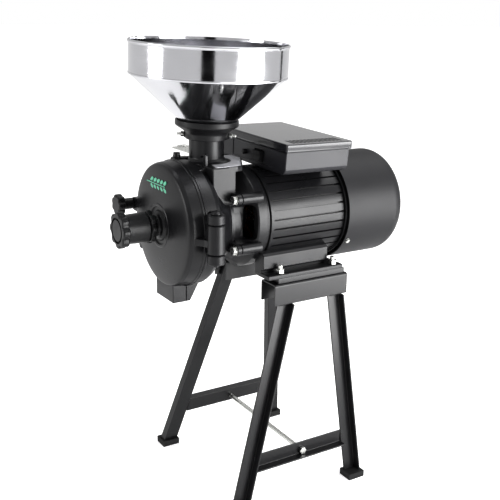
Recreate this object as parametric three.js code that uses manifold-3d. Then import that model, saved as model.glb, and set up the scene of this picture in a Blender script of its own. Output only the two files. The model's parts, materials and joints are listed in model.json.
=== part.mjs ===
// Electric plate grain mill on a welded stand.
// Millimetres, +Z up, shaft along Y, adjusting knob towards -Y, hinge side towards +X.
import * as THREE from 'three';
import { mergeVertices } from 'three/addons/utils/BufferGeometryUtils.js';
import Module from 'manifold-3d';

const wasm = await Module();
wasm.setup();

// ---------------------------------------------------------------- driving dimensions
const GAP = 0.3;
const SHAFT_HEIGHT = 467;
const CENTRE_SHIFT = -1;

const SHAFT_RADIUS = 8;
const HOPPER_Y = -95;
const HOPPER_RADIUS = 123.5;
const HOPPER_TOP = 749;
const BAND_BOTTOM = 698;
const CONE_BOTTOM = 626;
const CONE_BOTTOM_RADIUS = 46.5;
const SHEET = 1.4;
const LEAN_X = -0.9;
const LEAN_Y = 2.1;
const NECK_RADIUS = 28;
const NECK_BORE = 22;
const NECK_TOP = 602;
const CUP_SEAT = 609.5;
const SCREW_Z = 604.4;
const GATE_Z = 572.6;
const SCREW_TURNS = [58, 238];

const HEAD_RADIUS = 100;
const CHAMBER_RADIUS = 86;
const SEAM_Y = -149;
const HINGE_X = 121.5;
const HINGE_Y = -145;
const BARREL_RADIUS = 13.5;
const STUD_X = -112;
const STUD_Z = 480;
const STUD_RADIUS = 4.2;
const BURR_RADIUS = 60;
const SHIELD_BOLTS = [
  ['far_lower', -78, -35], ['far_upper', -78, 46], ['near_lower', 78, -35], ['near_upper', 78, 46],
];

const FRAME_RADIUS = 82;
const FRAME_FRONT = -21.7;
const RIBS_FRONT = -16;
const FRAME_BACK = 124;
const COWL_RADIUS = 92;
const COWL_FRONT = 127.5;
const COWL_BACK = 254;

const BOX_HALF_WIDTH = 104;
const BOX_FRONT = -14.5;
const BOX_BACK = 113;
const BOX_BOTTOM = 550.4;
const BOX_TOP = 600;
const LID_DEPTH = 14;
const BOX_ROLL = 1.7;
const BOX_PITCH = -0.7;

const SADDLE_FRONT = -24;
const SADDLE_BACK = 122;
const SADDLE_TOP = 370;
const SADDLE_BOTTOM = 334;
const SADDLE_OUTER = 100;
const SADDLE_INNER = 58;
const RAIL_OUTER = 97;
const RAIL_INNER = 55;
const PLATE = 2.5;
const BOLT_X = 90.5;
const BOLT_YS = [-9, 96];
const LEG_WIDTH = 25;
const LEG_FLANGE = 16;
const LEG_TOP_X = 93;
const LEG_FOOT_X = 129.5;
const LEG_Z_TOP = 331;
const FRONT_LEG_TOP_Y = -2;
const FRONT_LEG_FOOT_Y = -107.5;
const REAR_LEG_TOP_Y = 100;
const REAR_LEG_FOOT_Y = 126.5;
const BAR_TOP = 88;
const BAR_HEIGHT = 24;
const ROD_Y = 23;
const ROD_Z = 73.2;

const COLOUR = {
  casting: 0x202123, paint: 0x1b1c1e, plastic: 0x17181a, steel: 0xb8babc,
  polished: 0xd8dadc, copper: 0xb06a3a, plate: 0x6d7075, rubber: 0x101010,
};

// ---------------------------------------------------------------- solid helpers
// Joined-up copy of a shape with every face turned outwards.
function faceOut(geometry) {
  const copy = geometry.clone();
  copy.deleteAttribute('normal');
  copy.deleteAttribute('uv');
  const merged = mergeVertices(copy, 1e-4);
  const place = merged.attributes.position;
  const index = merged.index.array;
  const [a, b, c] = [new THREE.Vector3(), new THREE.Vector3(), new THREE.Vector3()];
  let volume = 0;
  for (let i = 0; i < index.length; i += 3) {
    a.fromBufferAttribute(place, index[i]);
    b.fromBufferAttribute(place, index[i + 1]);
    c.fromBufferAttribute(place, index[i + 2]);
    volume += a.dot(b.cross(c));
  }
  if (volume < 0) {
    for (let i = 0; i < index.length; i += 3) {
      const swap = index[i];
      index[i] = index[i + 1];
      index[i + 1] = swap;
    }
  }
  merged.computeVertexNormals();
  return merged;
}

function toSolid(geometry) {
  const merged = faceOut(geometry);
  return new wasm.Manifold(new wasm.Mesh({
    numProp: 3,
    vertProperties: new Float32Array(merged.attributes.position.array),
    triVerts: new Uint32Array(merged.index.array),
  }));
}

function toGeometry(solid) {
  const mesh = solid.getMesh();
  const geometry = new THREE.BufferGeometry();
  geometry.setAttribute('position', new THREE.BufferAttribute(new Float32Array(mesh.vertProperties), 3));
  geometry.setIndex(new THREE.BufferAttribute(new Uint32Array(mesh.triVerts), 1));
  geometry.computeVertexNormals();
  return geometry;
}

function join(...geometries) {
  return toGeometry(geometries.map(toSolid).reduce((a, b) => a.add(b)));
}

function cut(base, ...tools) {
  return toGeometry(tools.map(toSolid).reduce((a, b) => a.subtract(b), toSolid(base)));
}

function common(a, b) {
  return toGeometry(toSolid(a).intersect(toSolid(b)));
}

// ---------------------------------------------------------------- shape helpers
function block(x0, x1, y0, y1, z0, z1) {
  const geometry = new THREE.BoxGeometry(x1 - x0, y1 - y0, z1 - z0);
  geometry.translate((x0 + x1) / 2, (y0 + y1) / 2, (z0 + z1) / 2);
  return geometry;
}

// Rod along one axis between two positions on that axis.
function rod(axis, radius, from, to, a, b, segments = 16) {
  const geometry = new THREE.CylinderGeometry(radius, radius, to - from, segments);
  geometry.translate(0, (from + to) / 2, 0);
  if (axis === 'x') {
    geometry.rotateZ(-Math.PI / 2);
    geometry.translate(0, a, b);
  } else if (axis === 'y') {
    geometry.translate(a, 0, b);
  } else {
    geometry.rotateX(Math.PI / 2);
    geometry.translate(a, b, 0);
  }
  return geometry;
}

// Turned shape around the shaft line; points are [radius, y].
function turned(points, segments = 36) {
  const profile = points.map(([radius, y]) => new THREE.Vector2(radius, y));
  const geometry = new THREE.LatheGeometry(profile, segments);
  geometry.translate(0, 0, SHAFT_HEIGHT);
  return geometry;
}

// Turned shape around a vertical line; points are [radius, z].
function upright(points, x, y, segments = 48) {
  const profile = points.map(([radius, z]) => new THREE.Vector2(radius, z));
  const geometry = new THREE.LatheGeometry(profile, segments);
  geometry.rotateX(Math.PI / 2);
  geometry.translate(x, y, 0);
  return geometry;
}

// Flat outline in X and Z pushed along Y.
function extrudeY(points, y0, y1, holes = []) {
  const shape = new THREE.Shape(points.map(([x, z]) => new THREE.Vector2(x, z)));
  for (const hole of holes) {
    shape.holes.push(new THREE.Path(hole.map(([x, z]) => new THREE.Vector2(x, z))));
  }
  const geometry = new THREE.ExtrudeGeometry(shape, { depth: y1 - y0, bevelEnabled: false });
  geometry.rotateX(Math.PI / 2);
  geometry.translate(0, y1, 0);
  return geometry;
}

function ring(radius, count, centreX = 0, centreZ = SHAFT_HEIGHT, start = 0) {
  const points = [];
  for (let i = 0; i < count; i += 1) {
    const angle = start + (i * 2 * Math.PI) / count;
    points.push([centreX + radius * Math.cos(angle), centreZ + radius * Math.sin(angle)]);
  }
  return points;
}

// Outline of a hand knob with soft lobes.
function lobes(radius, depth, lobeCount, centreX, centreZ, steps = 48) {
  const points = [];
  for (let i = 0; i < steps; i += 1) {
    const angle = (i * 2 * Math.PI) / steps;
    const r = radius - depth * (0.5 - 0.5 * Math.cos(lobeCount * angle));
    points.push([centreX + r * Math.cos(angle), centreZ + r * Math.sin(angle)]);
  }
  return points;
}

const group = new THREE.Group();
group.name = 'grain_mill';

function add(name, geometry, colour, metalness = 0.2, roughness = 0.5) {
  const material = new THREE.MeshStandardMaterial({ color: colour, metalness, roughness });
  const solid = faceOut(geometry);
  solid.translate(0, CENTRE_SHIFT, 0);
  const mesh = new THREE.Mesh(solid, material);
  mesh.name = name;
  group.add(mesh);
}

// The funnel and its cup sit a little out of plumb on the neck.
function leanHopper(geometry) {
  geometry.translate(0, -HOPPER_Y, -NECK_TOP);
  geometry.rotateX(THREE.MathUtils.degToRad(LEAN_X));
  geometry.rotateY(THREE.MathUtils.degToRad(LEAN_Y));
  geometry.translate(0, HOPPER_Y, NECK_TOP);
  return geometry;
}

// The control box sits slightly rolled round the motor, its rear end a little low.
function leanBox(geometry) {
  const middle = (BOX_FRONT + BOX_BACK) / 2;
  geometry.translate(0, -middle, -BOX_BOTTOM);
  geometry.rotateX(THREE.MathUtils.degToRad(BOX_PITCH));
  geometry.translate(0, middle, BOX_BOTTOM - SHAFT_HEIGHT);
  geometry.rotateY(THREE.MathUtils.degToRad(BOX_ROLL));
  geometry.translate(0, 0, SHAFT_HEIGHT);
  return geometry;
}

// ---------------------------------------------------------------- hopper
function hopperFunnel() {
  const r = HOPPER_RADIUS;
  return leanHopper(upright([
    [CONE_BOTTOM_RADIUS - SHEET - 0.6, CONE_BOTTOM + 1], [20.8, 613.4], [20.8, 583],
    [19.6, 583], [19.6, 612.8],
    [CONE_BOTTOM_RADIUS - 2 * SHEET - 1, CONE_BOTTOM + 2.2], [r - 2, BAND_BOTTOM + 0.6],
    [r - 1.4, HOPPER_TOP - 4], [r - 1.6, HOPPER_TOP - 1], [r + 0.6, HOPPER_TOP], [r + 2, HOPPER_TOP - 1.4],
    [r + 1.6, HOPPER_TOP - 3.6], [r, HOPPER_TOP - 4.6], [r - 0.2, BAND_BOTTOM],
    [CONE_BOTTOM_RADIUS - SHEET - 0.6, CONE_BOTTOM + 1],
  ], 0, HOPPER_Y, 40));
}

function hopperCollar() {
  const cup = upright([
    [50.5, 629], [50.5, 620], [36, 611], [34, 607], [34, 599],
    [30, 599], [30, CUP_SEAT + 1.3], [25, CUP_SEAT + 1.3], [25, 613.2], [48.6, 629], [50.5, 629],
  ], 0, HOPPER_Y, 40);
  const holes = SCREW_TURNS.map((turn) => aimScrew(rod('x', 2.6, 20, 60, 0, SCREW_Z, 12), turn));
  return leanHopper(cut(cup, ...holes));
}

function aimScrew(geometry, degrees) {
  geometry.rotateZ(THREE.MathUtils.degToRad(degrees));
  geometry.translate(0, HOPPER_Y, 0);
  return geometry;
}

function thumbShank(degrees) {
  return leanHopper(aimScrew(rod('x', 2.3, 28.9, 43, 0, SCREW_Z, 12), degrees));
}

function thumbWing(degrees) {
  const hub = rod('x', 4, 36, 41, 0, SCREW_Z, 14);
  const body = join(hub, block(40, 48, -5.5, 5.5, SCREW_Z - 1.4, SCREW_Z + 1.4));
  return leanHopper(aimScrew(cut(body, rod('x', 2.3 + GAP, 20, 43.3, 0, SCREW_Z, 12)), degrees));
}

// ---------------------------------------------------------------- grinding head
function spoutOuter(y0, y1) {
  return block(-30.5, 30.5, y0, y1, 344, 400);
}

function millHousing() {
  const back = SEAM_Y + 0.6;
  const shell = turned([
    [0, back], [HEAD_RADIUS, back], [HEAD_RADIUS, -128], [95, -118], [84, -110],
    [70, -92], [64, -84], [64, -78.2], [0, -78.2],
  ], 40);
  const ledge = outlineZ([[-48, -90], [66, -90], [66, -76], [62, -65], [0, -30], [-48, -30]], 554, 563);
  const throat = join(block(-58, 66, -120, -78.2, 505, 563), ledge);
  const neck = upright([
    [0, 540], [34, 540], [34, 564], [30, 567], [NECK_RADIUS, 569], [NECK_RADIUS, CUP_SEAT], [0, CUP_SEAT],
  ], 0, HOPPER_Y, 36);
  const rearSpout = extrudeSpout(30.5, back, -141.5, -126);
  const knuckles = [rod('z', BARREL_RADIUS, 492, 506, HINGE_X, HINGE_Y, 20),
    rod('z', BARREL_RADIUS, 430, 445, HINGE_X, HINGE_Y, 20)];
  const arms = [block(78, HINGE_X, -142, -127, 492, 506), block(78, HINGE_X, -142, -127, 430, 445)];
  const studLug = block(STUD_X - 9, -86, SEAM_Y + 0.6, -130, 470, 490);
  const flangeLugs = [];
  for (const [, x, up] of SHIELD_BOLTS) {
    const z = SHAFT_HEIGHT + up;
    flangeLugs.push(block(Math.min(x, x * 0.5), Math.max(x, x * 0.5), -86, -78.2, z - 9, z + 9));
    flangeLugs.push(rod('y', 9, -86, -78.2, x, z, 20));
  }
  const lug = rod('z', 5.5, 555, 577, -22, -137, 16);
  const lugPad = block(-30, -14, -145, -118, 540, 570);
  const post = block(32, 40, -119, -114, 560, 580);
  const lugs = [studLug, ...flangeLugs, lug, lugPad, post];
  const body = join(shell, throat, neck, rearSpout, ...knuckles, ...arms, ...lugs);
  const chamber = turned([[0, -160], [CHAMBER_RADIUS, -160], [CHAMBER_RADIUS, -133], [0, -133]], 40);
  const auger = rod('y', 24, -134, -84, 0, SHAFT_HEIGHT, 28);
  const bore = rod('y', SHAFT_RADIUS + 0.5, -90, -70, 0, SHAFT_HEIGHT, 20);
  const feed = rod('z', NECK_BORE, SHAFT_HEIGHT, 620, 0, HOPPER_Y, 32);
  const chute = block(-27, 27, -160, -144.6, 330, 420);
  const tools = [chamber, auger, bore, feed, chute, rod('z', 5.3, 420, 520, HINGE_X, HINGE_Y, 20),
    rod('y', STUD_RADIUS + 0.6, -160, -120, STUD_X, STUD_Z, 16),
    rod('z', BARREL_RADIUS + 1, 445.4, 491.6, HINGE_X, HINGE_Y, 24)];
  tools.push(block(-45, 23, HOPPER_Y - 20.5, HOPPER_Y + 20.5, GATE_Z - GAP, GATE_Z + 2.5));
  for (const [, x, z] of SHIELD_BOLTS) tools.push(rod('y', 4.4, -100, -70, x, SHAFT_HEIGHT + z, 16));
  return cut(body, ...tools);
}

// Flat outline in X and Y pushed up along Z.
function outlineZ(points, z0, z1) {
  const shape = new THREE.Shape(points.map(([x, y]) => new THREE.Vector2(x, y)));
  const geometry = new THREE.ExtrudeGeometry(shape, { depth: z1 - z0, bevelEnabled: false });
  geometry.translate(0, 0, z0);
  return geometry;
}

// Rear half of the square discharge spout with a sloped back.
function extrudeSpout(halfWidth, y0, yBottom, yTop) {
  const shape = new THREE.Shape([[y0, 344], [yBottom, 344], [yTop, 372], [yTop, 400], [y0, 400]]
    .map(([y, z]) => new THREE.Vector2(y, z)));
  const geometry = new THREE.ExtrudeGeometry(shape, { depth: 2 * halfWidth, bevelEnabled: false });
  geometry.rotateX(Math.PI / 2);
  geometry.rotateZ(Math.PI / 2);
  geometry.translate(-halfWidth, 0, 0);
  return geometry;
}

function frontCover() {
  const shell = turned([
    [0, -181], [34, -181], [90, -178.5], [95.5, -176], [98, -171], [HEAD_RADIUS + 0.5, -156],
    [HEAD_RADIUS + 0.5, SEAM_Y], [0, SEAM_Y],
  ], 40);
  const hub = turned([[0, -190], [16.5, -190], [16.5, -184], [21, -182], [21, -170], [0, -170]], 32);
  const barrel = rod('z', BARREL_RADIUS, 446, 491, HINGE_X, HINGE_Y, 24);
  const arm = block(88, HINGE_X - 3, -163, -150, 456, 467);
  const armRoot = block(HINGE_X - 12, HINGE_X - 2, -163, -146, 456, 467);
  const ear = block(STUD_X - 9, -84, -176, -166, 470, 490);
  const nub = rod('y', 7, -174, -160, -85, 414, 16);
  const body = join(shell, hub, spoutOuter(-172.5, SEAM_Y), barrel, arm, armRoot, ear, nub);
  const chamber = turned([
    [0, -172], [34, -172], [CHAMBER_RADIUS, -168], [CHAMBER_RADIUS, -140], [0, -140],
  ], 40);
  const chute = block(-27, 27, -169, -140, 330, 420);
  const tools = [chamber, chute, rod('y', SHAFT_RADIUS + 0.4, -200, -160, 0, SHAFT_HEIGHT, 24),
    rod('z', 5.3, 440, 500, HINGE_X, HINGE_Y, 20),
    rod('y', STUD_RADIUS + 0.4, -190, -150, STUD_X, STUD_Z, 16)];
  return cut(body, ...tools);
}

function hingePin() {
  const pin = rod('z', 4.9, 426, 508, HINGE_X, HINGE_Y, 20);
  return join(pin, rod('z', 7.6, 506.3, 511, HINGE_X, HINGE_Y, 20));
}

function lockStud() {
  return rod('y', STUD_RADIUS, -203, -139, STUD_X, STUD_Z, 14);
}

function lockKnob() {
  const star = extrudeY(lobes(17.4, 2, 7, STUD_X, STUD_Z, 42), -207, -194);
  const boss = rod('y', 9.5, -198, -176.3, STUD_X, STUD_Z, 24);
  return cut(join(star, boss), rod('y', STUD_RADIUS + GAP, -203.4, -150, STUD_X, STUD_Z, 16));
}

function fixedBurr() {
  const rim = BURR_RADIUS;
  const plate = turned([[26, -147], [rim, -147], [rim, -133.3], [26, -133.3], [26, -147]], 40);
  const grooves = [];
  for (let i = 0; i < 12; i += 1) {
    const groove = block(30, 70, -150, -145.2, -1.6, 1.6);
    groove.rotateY((i * Math.PI) / 6);
    groove.translate(0, 0, SHAFT_HEIGHT);
    grooves.push(groove);
  }
  return cut(plate, ...grooves);
}

function rotatingBurr() {
  const plate = turned([[0, -160], [BURR_RADIUS, -160], [BURR_RADIUS, -148], [0, -148]], 40);
  const dish = turned([[0, -149.8], [24, -149.8], [28, -140], [0, -140]], 32);
  const grooves = [];
  for (let i = 0; i < 12; i += 1) {
    const groove = block(30, 70, -149.8, -140, -1.6, 1.6);
    groove.rotateY((i * Math.PI) / 6 + 0.2);
    groove.translate(0, 0, SHAFT_HEIGHT);
    grooves.push(groove);
  }
  return cut(plate, dish, rod('y', 6.3, -156, -140, 0, SHAFT_HEIGHT, 20), ...grooves);
}

// Feed screw: one flight wound round a sleeve.
function feedAuger() {
  const around = 20;
  const along = 18;
  const from = -131;
  const to = -85;
  const positions = [];
  for (let j = 0; j <= along; j += 1) {
    const t = j / along;
    for (let i = 0; i < around; i += 1) {
      const angle = (i * 2 * Math.PI) / around;
      const off = Math.min(angle, 2 * Math.PI - angle);
      const radius = off < 0.5 ? 21.5 : 13;
      const turn = angle + t * 1.75 * 2 * Math.PI;
      const y = from + t * (to - from);
      positions.push(radius * Math.cos(turn), y, SHAFT_HEIGHT + radius * Math.sin(turn));
    }
  }
  const first = positions.length / 3;
  positions.push(0, from, SHAFT_HEIGHT, 0, to, SHAFT_HEIGHT);
  const index = [];
  for (let j = 0; j < along; j += 1) {
    for (let i = 0; i < around; i += 1) {
      const a = j * around + i;
      const b = j * around + ((i + 1) % around);
      index.push(a, a + around, b, b, a + around, b + around);
    }
  }
  for (let i = 0; i < around; i += 1) {
    const next = (i + 1) % around;
    index.push(first, i, next);
    index.push(first + 1, along * around + next, along * around + i);
  }
  const geometry = new THREE.BufferGeometry();
  geometry.setAttribute('position', new THREE.Float32BufferAttribute(positions, 3));
  geometry.setIndex(index);
  return cut(geometry, rod('y', SHAFT_RADIUS + GAP, -140, -60, 0, SHAFT_HEIGHT, 24));
}

function adjustingScrew() {
  return turned([
    [0, -246], [SHAFT_RADIUS, -246], [SHAFT_RADIUS, -163.5], [5, -160.4], [0, -160.4],
  ], 24);
}

function lockRing() {
  const flange = extrudeY(lobes(26.5, 3.4, 8, 0, SHAFT_HEIGHT, 40), -203, -194);
  const boss = rod('y', 16, -195, -190.3, 0, SHAFT_HEIGHT, 28);
  return cut(join(flange, boss), rod('y', SHAFT_RADIUS + GAP, -220, -180, 0, SHAFT_HEIGHT, 24));
}

function adjustingKnob() {
  const star = extrudeY(lobes(29, 4, 8, 0, SHAFT_HEIGHT, 40), -252, -239);
  const barrel = rod('y', 24, -240, -203.3, 0, SHAFT_HEIGHT, 28);
  const groove = turned([[16, -260], [20.5, -260], [20.5, -249], [16, -249], [16, -260]], 28);
  return cut(join(star, barrel), groove, rod('y', SHAFT_RADIUS + GAP, -246.3, -190, 0, SHAFT_HEIGHT, 24));
}

// Sliding shutter below the hopper, drawn out towards -X so that grain can fall.
function feedGate() {
  const plate = block(-82, -23.3, HOPPER_Y - 20, HOPPER_Y + 20, GATE_Z, GATE_Z + 2.2);
  return join(plate, block(-90, -80, HOPPER_Y - 8, HOPPER_Y + 8, GATE_Z - 4, GATE_Z + 4.4));
}

// ---------------------------------------------------------------- motor
function motorFrame() {
  const outline = [];
  const count = 33;
  for (let i = 0; i < count; i += 1) {
    const centre = THREE.MathUtils.degToRad(4.4 + (i * 360) / count);
    const half = THREE.MathUtils.degToRad(1.7);
    const next = THREE.MathUtils.degToRad(360 / count);
    outline.push([76, centre - half], [76, centre + half], [FRAME_RADIUS, centre + half]);
    outline.push([FRAME_RADIUS, centre + next / 2], [FRAME_RADIUS, centre + next - half]);
  }
  const points = outline.map(([r, angle]) => [r * Math.cos(angle), SHAFT_HEIGHT + r * Math.sin(angle)]);
  const ribs = extrudeY(points, RIBS_FRONT - 1, FRAME_BACK, [ring(70, 48)]);
  const band = turned([[72, FRAME_FRONT], [FRAME_RADIUS, FRAME_FRONT], [FRAME_RADIUS, RIBS_FRONT],
    [72, RIBS_FRONT], [72, FRAME_FRONT]], 48);
  const shell = join(ribs, band);
  const feet = [-1, 1].map((side) => {
    const mirror = (half) => (side > 0 ? half : half.map(([x, z]) => [-x, z]).reverse());
    const flange = extrudeY(mirror([[56, 379.3], [99, 379.3], [99, 386.5], [56, 386.5]]), -36, 112);
    const bracket = extrudeY(mirror([
      [56, 386], [76, 386], [76, 391.5], [82.6, 393], [82.6, 415], [79, 419], [66, 425], [56, 418],
    ]), -36, 91);
    return cut(join(flange, bracket), rod('y', 84.6, -60, FRAME_FRONT - 0.1, 0, SHAFT_HEIGHT, 48));
  });
  const pads = leanBox(block(-40, 40, 20, 84, 536, BOX_BOTTOM - GAP));
  const holes = [];
  for (const side of [-1, 1]) {
    for (const y of BOLT_YS) holes.push(rod('z', 4.4, 370, 395, side * BOLT_X, y, 16));
  }
  const inner = rod('y', 70, FRAME_FRONT - 1, FRAME_BACK + 1, 0, SHAFT_HEIGHT, 48);
  return cut(join(shell, ...feet, pads), inner, ...holes);
}

function statorCore() {
  return turned([[46, 4], [69.6, 4], [69.6, 96], [46, 96], [46, 4]], 48);
}

function rotorCore() {
  const bore = SHAFT_RADIUS + 4.3;
  return turned([[bore, 6], [45.2, 6], [45.2, 94], [bore, 94], [bore, 6]], 48);
}

function motorShaft() {
  return turned([
    [0, -155.6], [6, -155.6], [6, -146], [SHAFT_RADIUS, -146], [SHAFT_RADIUS, -58], [10, -56],
    [10, -28], [12, -26], [12, 134], [10, 136], [10, 196], [0, 196],
  ], 20);
}

function frontEndShield() {
  const body = turned([
    [0, -77.6], [66, -77.6], [70, -66], [80, -52], [84, -45], [84, -28],
    [79, -27], [79, FRAME_FRONT - 0.4], [0, FRAME_FRONT - 0.4],
  ], 48);
  const bosses = SHIELD_BOLTS.map(([, x, z]) => rod('y', 9, -77.6, -40, x, SHAFT_HEIGHT + z, 20));
  const cavity = turned([[0, -60], [58, -60], [74, -45], [77, -38], [77, -10], [0, -10]], 48);
  const hub = turned([[0, -77.6], [50, -77.6], [50, -66], [24, -54], [24, -34], [0, -34]], 32);
  const seat = turned([[0, -56], [19.3, -56], [19.3, -30], [0, -30]], 32);
  const windows = [];
  for (let i = 0; i < 4; i += 1) {
    const half = i % 2 ? 24 : 28;
    const window = block(-half, half, -70, -47, 54, 100);
    window.rotateY((i * Math.PI) / 2 + Math.PI / 2);
    window.translate(0, 0, SHAFT_HEIGHT + (i % 2 ? 0 : 5));
    windows.push(window);
  }
  const hollow = join(cut(body, cavity, ...windows), ...bosses);
  const holes = SHIELD_BOLTS.map(([, x, z]) => rod('y', 4.4, -90, -60, x, SHAFT_HEIGHT + z, 16));
  return cut(join(hollow, hub), seat, rod('y', 12.4, -90, -50, 0, SHAFT_HEIGHT, 24), ...holes);
}

function rearEndShield() {
  const body = turned([[0, 124.4], [86, 124.4], [86, 134], [60, 142], [0, 142]], 48);
  const hub = turned([[0, 112], [24, 112], [24, 142], [0, 142]], 32);
  const seat = turned([[0, 100], [19.3, 100], [19.3, 130], [0, 130]], 32);
  return cut(join(body, hub), seat, rod('y', 12.4, 90, 150, 0, SHAFT_HEIGHT, 24));
}

function bearing(y, inner) {
  return turned([[inner, y], [19, y], [19, y + 14], [inner, y + 14], [inner, y]], 32);
}

function coolingFan() {
  const hub = turned([[10.3, 160], [20, 160], [20, 190], [10.3, 190], [10.3, 160]], 28);
  const disc = turned([[18, 160], [70, 160], [70, 163], [18, 163], [18, 160]], 36);
  const blades = [];
  for (let i = 0; i < 7; i += 1) {
    const blade = block(17, 70, 162, 192, -1.5, 1.5);
    blade.rotateY((i * 2 * Math.PI) / 7);
    blade.translate(0, 0, SHAFT_HEIGHT);
    blades.push(blade);
  }
  return join(hub, disc, ...blades);
}

function fanCowl() {
  const inside = COWL_RADIUS - 1.8;
  const shell = turned([
    [inside, COWL_FRONT], [COWL_RADIUS, COWL_FRONT], [COWL_RADIUS, 234], [90, 241], [85, 247],
    [77, 251.5], [66, COWL_BACK], [0, COWL_BACK], [0, COWL_BACK - 1.8],
    [65, COWL_BACK - 1.8], [76, 249.7], [83.6, 245.6], [88.2, 240], [inside, 233], [inside, COWL_FRONT],
  ], 40);
  const slots = [];
  for (let i = 0; i < 12; i += 1) {
    const slot = block(22, 56, 240, 260, -3.5, 3.5);
    slot.rotateY((i * Math.PI) / 6);
    slot.translate(0, 0, SHAFT_HEIGHT);
    slots.push(slot);
  }
  return cut(shell, ...slots);
}

function shieldBolt(x, z) {
  return join(rod('y', 4, -92, -61, x, z, 16), rod('y', 7.2, -92.8, -86.3, x, z, 6));
}

function footBolt(side, y) {
  const x = side * BOLT_X;
  const shank = rod('z', 4, 358, 400, x, y, 10);
  const nut = rod('z', 7.4, 386.8, 394, x, y, 6);
  const head = rod('z', 6.6, 361, 366.9, x, y, 6);
  return join(shank, nut, head);
}

function rail(side) {
  const x0 = side > 0 ? RAIL_INNER : -RAIL_OUTER;
  const x1 = side > 0 ? RAIL_OUTER : -RAIL_INNER;
  const holes = BOLT_YS.map((y) => rod('z', 4.4, 365, 385, side * BOLT_X, y, 16));
  return cut(block(x0, x1, -16, 117, SADDLE_TOP + GAP, 379), ...holes);
}

// ---------------------------------------------------------------- control box
function boxBody() {
  const w = BOX_HALF_WIDTH - 3.5;
  const top = BOX_TOP - LID_DEPTH;
  const outer = extrudeY([
    [-w, top], [-w + 1.5, BOX_BOTTOM + 7], [-w + 7, BOX_BOTTOM],
    [w - 7, BOX_BOTTOM], [w - 1.5, BOX_BOTTOM + 7], [w, top],
  ], BOX_FRONT + 2.5, BOX_BACK - 2.5);
  const inner = extrudeY([
    [-w + 2.5, top + 1], [-w + 4, BOX_BOTTOM + 7.8], [-w + 8.2, BOX_BOTTOM + 2.5],
    [w - 8.2, BOX_BOTTOM + 2.5], [w - 4, BOX_BOTTOM + 7.8], [w - 2.5, top + 1],
  ], BOX_FRONT + 5, BOX_BACK - 5);
  const window = block(6, 34, BOX_FRONT, BOX_FRONT + 8, 559, 579);
  const glandHole = rod('y', 6.3, BOX_BACK - 10, BOX_BACK + 4, -55, 568, 20);
  const buttonHole = rod('y', 4.6, BOX_FRONT, BOX_FRONT + 8, -22, 568, 16);
  return leanBox(cut(outer, inner, window, glandHole, buttonHole));
}

function boxLid() {
  const w = BOX_HALF_WIDTH;
  const z0 = BOX_TOP - LID_DEPTH + GAP;
  const outer = block(-w, w, BOX_FRONT, BOX_BACK, z0, BOX_TOP);
  const inner = block(-w + 3, w - 3, BOX_FRONT + 3, BOX_BACK - 3, z0 - 1, BOX_TOP - 3);
  const ribs = [];
  for (let i = 0; i < 14; i += 1) {
    const y = BOX_FRONT + 18 + i * 7;
    ribs.push(block(w - 14, w - 6, y, y + 2.4, BOX_TOP - 5, BOX_TOP + 2));
  }
  return leanBox(cut(outer, inner, ...ribs));
}

function rockerSwitch() {
  const shape = new THREE.Shape([[-19.5, 561], [-15.5, 569], [-18, 577], [-8, 577], [-6, 569], [-8, 561]]
    .map(([y, z]) => new THREE.Vector2(y, z)));
  const geometry = new THREE.ExtrudeGeometry(shape, { depth: 22, bevelEnabled: false });
  geometry.rotateX(Math.PI / 2);
  geometry.rotateZ(Math.PI / 2);
  geometry.translate(9, 0, 0);
  return leanBox(geometry);
}

function resetButton() {
  return leanBox(join(rod('y', 4.2, -17.5, -4, -22, 568, 16), rod('y', 6.5, -9.2, -4, -22, 568, 16)));
}

function cableGland() {
  const nut = rod('y', 10, BOX_BACK - 2.2, BOX_BACK + 6, -55, 568, 6);
  const dome = rod('y', 7.5, BOX_BACK + 5, BOX_BACK + 14, -55, 568, 20);
  const stem = rod('y', 6, BOX_BACK - 9, BOX_BACK, -55, 568, 20);
  const bore = rod('y', 3.5, BOX_BACK - 20, BOX_BACK + 20, -55, 568, 16);
  return leanBox(cut(join(nut, dome, stem), bore));
}

function capacitor(radius, y0, y1, x) {
  return leanBox(rod('y', radius, y0, y1, x, BOX_BOTTOM + 3 + radius, 24));
}

function terminalBlock() {
  const base = block(-16, 16, 56, 80, BOX_BOTTOM + 2.8, BOX_BOTTOM + 14);
  const studs = [-10, 0, 10].map((x) => rod('z', 2, BOX_BOTTOM + 10, BOX_BOTTOM + 20, x, 68, 12));
  return leanBox(join(base, ...studs));
}

// ---------------------------------------------------------------- stand
function saddle(side) {
  const a = side > 0 ? SADDLE_INNER : -SADDLE_OUTER;
  const b = side > 0 ? SADDLE_OUTER : -SADDLE_INNER;
  const outer = block(a, b, SADDLE_FRONT, SADDLE_BACK, SADDLE_BOTTOM, SADDLE_TOP);
  const top = SADDLE_TOP - PLATE;
  const inner = block(a + PLATE, b - PLATE, SADDLE_FRONT - 1, SADDLE_BACK + 1, SADDLE_BOTTOM - 1, top);
  const holes = BOLT_YS.map((y) => rod('z', 4.4, 360, 375, side * BOLT_X, y, 16));
  return cut(outer, inner, ...holes);
}

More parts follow.
